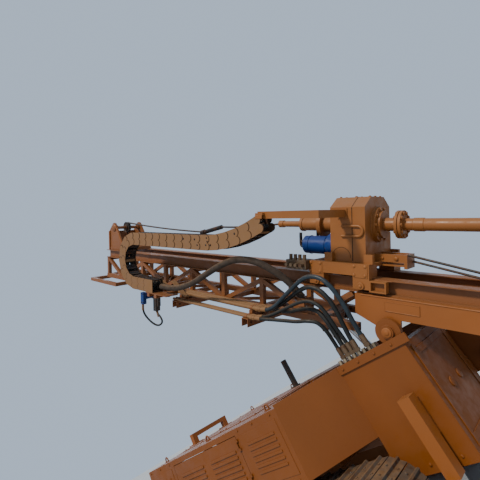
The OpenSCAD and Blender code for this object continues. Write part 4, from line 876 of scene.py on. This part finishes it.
def make_tube_clamps():
    """Straps over the hard tubes, bent brackets by the tray and bolts on the channels."""
    straps, bolts, brackets = shapes(mast_point, 3)
    for a in CHANNELS:
        for y, b, r, bolt_out, bolt_b, bolt_r in HARD_TUBES:
            straps.turned((a - 0.018, y, b), (1, 0, 0),
                          [(0, r), (0, r + 0.0035), (0.036, r + 0.0035), (0.036, r)], 24)
            bolts.bolt((a, y + bolt_out, bolt_b), (0, 0, 1), bolt_r)
        for y in (-0.60, -0.44, 0.30, 0.38):
            bolts.bolt((a - 0.05, y, -0.18), (-1, 0, 0), 0.010)
    for a, b in ((3.410, 0.105), (3.110, 0.130)):
        bent = [(a + 0.030, b + 0.008), (a, b), (a - 0.235, b - 0.160), (a - 0.330, b - 0.166)]
        brackets.strip(bent, 0.014, -0.640, -0.560)
        bolts.bolt((a - 0.310, -0.600, b - 0.159), (0, 0, 1), 0.012)
    straps.make("tube_straps", "mast", MAST_PAINT)
    bolts.make("channel_bolts", "mast", DARK)
    brackets.make("bent_brackets", "mast", TAN, 0.002)


def make_winch_details():
    bolts, ribs = shapes(mast_point, 2)
    for side in (-1, 1):
        for da in (-0.09, 0.0, 0.09):
            bolts.bolt((WINCH_A + da, side * 0.160, -0.160), (0, side, 0), 0.011)
    bolts.bolt_circle((WINCH_A, -0.2203, WINCH_B), (0, -1, 0), 0.060, 6, 0.007, 0.3)
    for i in range(5):
        ribs.turned((WINCH_A, -0.255 - i * 0.024, WINCH_B), (0, -1, 0),
                    [(0, 0.052), (0.002, 0.057), (0.010, 0.057), (0.012, 0.052)], 32)
    for da in (-0.028, 0.028):
        for db in (-0.100, 0.048):
            bolts.bolt((WINCH_A + da, -0.4303, WINCH_B + db), (0, -1, 0), 0.008)
    bolts.make("winch_bolts", "mast", DARK)
    ribs.make("winch_motor_ribs", "mast", BLUE)


def make_foot():
    """Hub plates, patch, welds and bolts of the foot, and caps of the clamp."""
    bolts, plates, welds = shapes(mast_point, 3)
    patch = [(-0.260, 0.175), (0.050, 0.175), (0.050, 0.262), (-0.260, 0.262), (-0.260, 0.175)]
    for side in (-1, 1):
        y = side * FOOT_HALF
        plates.turned((CLAMP_A, side * 0.300, SPINDLE_B), (0, side, 0), CLAMP_CAP, 32)
        plates.turned((0, y, 0), (0, side, 0), [(0, 0.092), (0.008, 0.092), (0.012, 0.086)], 40)
        welds.round_bead((0, y + side * 0.002, 0), True, 0.100, 0.005)
        plates.box((-0.260, y - side * 0.001, 0.175), (0.050, y + side * 0.005, 0.262))
        welds.bead([(a, y + side * 0.004, b) for a, b in patch], 0.004)
        welds.bead([(0.290, y + side * 0.001, 0.297), (-1.290, y + side * 0.001, 0.297)], 0.006)
    for y in (-0.16, 0.16):
        for b in (0.62, 0.80):
            bolts.bolt((-1.400, y, b), (-1, 0, 0), 0.014)
    bolts.make("foot_bolts", "mast", BLACK)
    plates.make("foot_plates", "mast", ORANGE, 0.002)
    welds.make("foot_welds", "mast", ORANGE)


make_crown()
make_lattice_welds()
make_tube_clamps()
make_winch_details()
make_foot()


# Carrier details
def make_nose():
    bolts, welds, plates, pins = shapes(deck_point, 4)
    for side in (-1, 1):
        pin = (0, side * 0.495, PIVOT_Z)
        pins.turned(pin, (0, side, 0), [(0, 0.046), (0.008, 0.046), (0.012, 0.040)], 32)
        pins.turned(pin, (0, side, 0), [(0, 0.024), (0.016, 0.024), (0.019, 0.020)], 24)
        welds.round_bead((0, side * 0.470, PIVOT_Z), True, 0.062, 0.006)
        edge = side * (NOSE_HALF + 0.002)
        welds.bead([(-0.155, edge, NOSE_TOP), (0.680, edge, NOSE_TOP)], 0.005)
        welds.bead([(-NOSE_FRONT, side * 0.498, 0.46), (-NOSE_FRONT, side * 0.498, 1.39)], 0.005)
        for x in (0.02, 0.22, 0.42, 0.62):
            bolts.bolt((x, side * 0.520, NOSE_TOP + 0.040), (0, side, 0), 0.012)
        for x in (0.05, 0.35, 0.62):
            bolts.bolt((x, side * NOSE_HALF, 0.500), (0, side, 0), 0.014)
        plates.box((-NOSE_FRONT - 0.010, side * 0.40 - 0.02, 0.50), (-NOSE_FRONT, side * 0.40 + 0.02, 1.36))
    for z in (0.56, 1.30):
        plates.box((-NOSE_FRONT - 0.008, -0.38, z - 0.03), (-NOSE_FRONT, 0.38, z + 0.03))
    for y in (-0.12, 0.12):
        plates.turned((-NOSE_FRONT, y, 0.93), (-1, 0, 0), [(0, 0.045), (0.010, 0.045), (0.014, 0.035)], 24)
    bolts.make("nose_bolts", "carrier", BODY_PAINT)
    welds.make("nose_welds", "carrier", BODY_PAINT)
    plates.make("nose_plates", "carrier", BODY_PAINT, 0.002)
    pins.make("tilt_pin_caps", "carrier", ORANGE)


def louvres_on_door(side):
    """Pressed louvres and a sunk handle plate on one door."""
    shape = Shape(deck_point)
    y = side * HOUSE_HALF
    for x in (1.98, 2.66):
        for i in range(7):
            z = 0.945 + i * 0.052
            shape.strip([(x, z), (x + 0.52, z)], 0.026, y - side * 0.001, y + side * 0.011)
    shape.box((3.12, y - side * 0.001, 1.075), (3.27, y + side * 0.004, 1.195))
    name = "door_far" if side > 0 else "door_near"
    shape.make(name + "_louvres", name, BODY_PAINT, 0.004)


def make_house():
    """Ribbed panels, hatches, lifting eyes and bolts."""
    trim, bolts = shapes(deck_point, 2)
    for side in (-1, 1):
        y = side * HOUSE_HALF
        for x in (HOUSE_START + 0.10, HOUSE_START + 0.40, HOUSE_START + 0.66, 3.40, 3.66, HOUSE_END - 0.06):
            for z in (HOUSE_FLOOR + 0.035, HOUSE_TOP - 0.030):
                bolts.bolt((x, y, z), (0, side, 0), 0.010)
        for x0, x1 in ((HOUSE_START + 0.06, HOUSE_START + 0.66), (3.38, HOUSE_END - 0.06)):
            trim.box((x0, y - side * 0.001, HOUSE_FLOOR + 0.08), (x1, y + side * 0.005, HOUSE_TOP - 0.08))
            for i in range(6):
                z = HOUSE_FLOOR + 0.18 + 0.055 * i
                trim.box((x0 + 0.08, y + side * 0.004, z), (x1 - 0.08, y + side * 0.014, z + 0.022))
        eye_y = side * 0.90
        for x in (1.45, 2.65, 3.75):
            trim.box((x - 0.045, eye_y - 0.010, HOUSE_TOP - 0.001),
                     (x + 0.045, eye_y + 0.010, HOUSE_TOP + 0.012))
            trim.tube([deck_point(x + 0.03 * math.cos(t), eye_y, HOUSE_TOP + 0.012 + 0.045 * math.sin(t))
                       for t in (math.pi * k / 10 for k in range(11))], 0.009, 10)
        louvres_on_door(side)
    for x0, x1 in ((1.98, 2.70), (2.76, 3.78)):
        trim.box((x0, -0.62, HOUSE_TOP - 0.001), (x1, 0.62, HOUSE_TOP + 0.008))
        for x in (x0 + 0.04, (x0 + x1) / 2, x1 - 0.04):
            for y in (-0.58, 0.58):
                bolts.bolt((x, y, HOUSE_TOP + 0.008), (0, 0, 1), 0.010)
    trim.box((2.20, -0.05, HOUSE_TOP + 0.006), (2.45, 0.05, HOUSE_TOP + 0.018))
    trim.make("house_trim", "carrier", BODY_PAINT, 0.002)
    bolts.make("house_bolts", "carrier", BODY_PAINT)


# Console, its profiles as (height, radius)
CONSOLE_TOP = 1.250
DIAL = [(0, 0.030), (0.010, 0.030), (0.012, 0.026), (0.008, 0.025)]
BOOT = [(0, 0.022), (0.014, 0.021), (0.022, 0.014), (0.030, 0.008)]
KNOB_BALL = [(0, 0.006), (0.010, 0.013), (0.022, 0.0175), (0.036, 0.0172), (0.0445, 0.008)]
BUTTON = [(0, 0.014), (0.010, 0.014), (0.012, 0.010), (0.018, 0.010)]


def make_console():
    dials, knobs = shapes(deck_point, 2)
    up = (0, 0, 1)
    for i in range(4):
        dials.turned((-0.30 + i * 0.082, 0.66, CONSOLE_TOP), up, DIAL, 28)
    for i in range(6):
        x = -0.310 + i * 0.052
        knobs.turned((x, 0.800, CONSOLE_TOP), up, BOOT, 20)
        knobs.turned((x, 0.800, 1.372), up, KNOB_BALL, 20)
    for i in range(5):
        knobs.turned((-0.31 + i * 0.06, 0.930, CONSOLE_TOP), up, BUTTON, 20)
    dials.make("console_dials", "carrier", ZINC)
    knobs.make("console_knobs", "carrier", KNOB)


# Tracks
AXLE_FRONT, AXLE_BACK, END_R = 0.660, 3.240, 0.360
GROUSER, SHOE_W, SHOE_PITCH, SHOE_GAP = 0.022, 0.420, 0.160, 0.004
LINK_Y = 0.075


def shoe_at(s, tread_r):
    """Carrier place (x, z) and turn of a shoe, s along the loop from the front of the lower run."""
    span = AXLE_BACK - AXLE_FRONT
    if s < span:
        return AXLE_FRONT + s, END_R - tread_r, 0.0
    if s < span + math.pi * tread_r:
        turn = (s - span) / tread_r
        return AXLE_BACK + tread_r * math.sin(turn), END_R - tread_r * math.cos(turn), turn
    if s < 2 * span + math.pi * tread_r:
        return AXLE_BACK - (s - span - math.pi * tread_r), END_R + tread_r, math.pi
    turn = math.pi + (s - 2 * span - math.pi * tread_r) / tread_r
    return AXLE_FRONT + tread_r * math.sin(turn), END_R - tread_r * math.cos(turn), turn


def on_shoe(place, outline):
    """Carrier places (x, z) of an outline that is laid out from a shoe's middle."""
    x, z, turn = place
    c, s = math.cos(turn), math.sin(turn)
    return [(x + c * u - s * v, z + s * u + c * v) for u, v in outline]


def make_track(name, side):
    """Shoes with one grouser each, their bolts, and two rows of links under them."""
    shoes, links = shapes(deck_point, 2)
    tread_r = END_R - GROUSER
    length = 2 * (AXLE_BACK - AXLE_FRONT) + 2 * math.pi * tread_r
    count = int(length / SHOE_PITCH)
    step = length / count
    half = step / 2 - SHOE_GAP
    middle = side * TRACK_Y
    shoe = [(-half, 0.0), (-0.020, 0.0), (-0.009, -GROUSER), (0.009, -GROUSER), (0.020, 0.0),
            (half, 0.0), (half, 0.012), (-half, 0.012)]
    link = [(-half - 0.006, 0.014), (half + 0.006, 0.014), (half - 0.010, 0.061), (-half + 0.010, 0.061)]
    for i in range(count):
        place = shoe_at((i + 0.5) * step, tread_r)
        outward = (math.sin(place[2]), 0, -math.cos(place[2]))
        shoes.plate(on_shoe(place, shoe), middle - SHOE_W / 2, middle + SHOE_W / 2)
        for y in (middle - LINK_Y, middle + LINK_Y):
            links.plate(on_shoe(place, link), y - 0.018, y + 0.018)
            for x, z in on_shoe(place, [(-0.048, 0.0), (0.048, 0.0)]):
                shoes.bolt((x, y, z), outward, 0.011)
        x, z = on_shoe(place, [(half, 0.036)])[0]
        links.turned((x, middle - 0.098, z), (0, 1, 0), [(0, 0.018), (0.196, 0.018)], 12)
    item = shoes.make(name + "_shoes", "carrier", TREAD, 0.0015)
    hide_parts(name)
    links.make(name + "_links", "carrier", DARK, 0.002)


def make_wheels():
    """Hub caps and bolts of the sprockets, and rims of the idlers."""
    hubs, bolts = shapes(deck_point, 2)
    for side in (-1, 1):
        hubs.turned((AXLE_BACK, side * (TRACK_Y + 0.070), END_R), (0, side, 0),
                    [(0, 0.120), (0.014, 0.120), (0.020, 0.105), (0.040, 0.060)], 40)
        bolts.bolt_circle((AXLE_BACK, side * (TRACK_Y + 0.088), END_R), (0, side, 0), 0.095, 12, 0.011)
        bolts.bolt_circle((AXLE_BACK, side * (TRACK_Y + 0.035), END_R), (0, side, 0), 0.225, 20, 0.013)
        hubs.turned((AXLE_FRONT, side * (TRACK_Y + 0.050), END_R), (0, side, 0),
                    [(0, 0.225), (0.010, 0.225), (0.010, 0.200), (0.003, 0.190)], 48)
    hubs.make("wheel_hubs", "carrier", DARK)
    bolts.make("wheel_bolts", "carrier", BLACK)


make_nose()
make_house()
make_console()
make_track("track_near", -1)
make_track("track_far", 1)
make_wheels()


# Floor and light
def sun(name, direction, energy, angle, color):
    """Sun lamp that shines along a row direction; angle softens its shadows."""
    light = bpy.data.lights.new(name, "SUN")
    light.energy = energy
    light.angle = angle
    light.color = color
    add_object(name, light).rotation_euler = Vector(direction).to_track_quat("-Z", "Y").to_euler()


def floor_and_light():
    mesh = bpy.data.meshes.new("floor")
    size = 60
    corners = [(-size, -size, 0), (size, -size, 0), (size, size, 0), (-size, size, 0)]
    mesh.from_pydata(corners, [], [(0, 1, 2, 3)])
    mesh.materials.append(floor_finish())
    floor = add_object("floor", mesh)
    world = bpy.context.scene.world or bpy.data.worlds.new("world")
    bpy.context.scene.world = world
    world.use_nodes = True
    background = world.node_tree.nodes["Background"]
    background.inputs["Color"].default_value = (0.54, 0.67, 0.84, 1)
    background.inputs["Strength"].default_value = 0.88
    sun("key", (-0.20, 0.66, -0.68), 3.2, 0.14, (1.0, 0.91, 0.78))
    sun("fill", (0.75, -0.30, -0.50), 0.5, 0.60, (0.80, 0.88, 1.0))


floor_and_light()
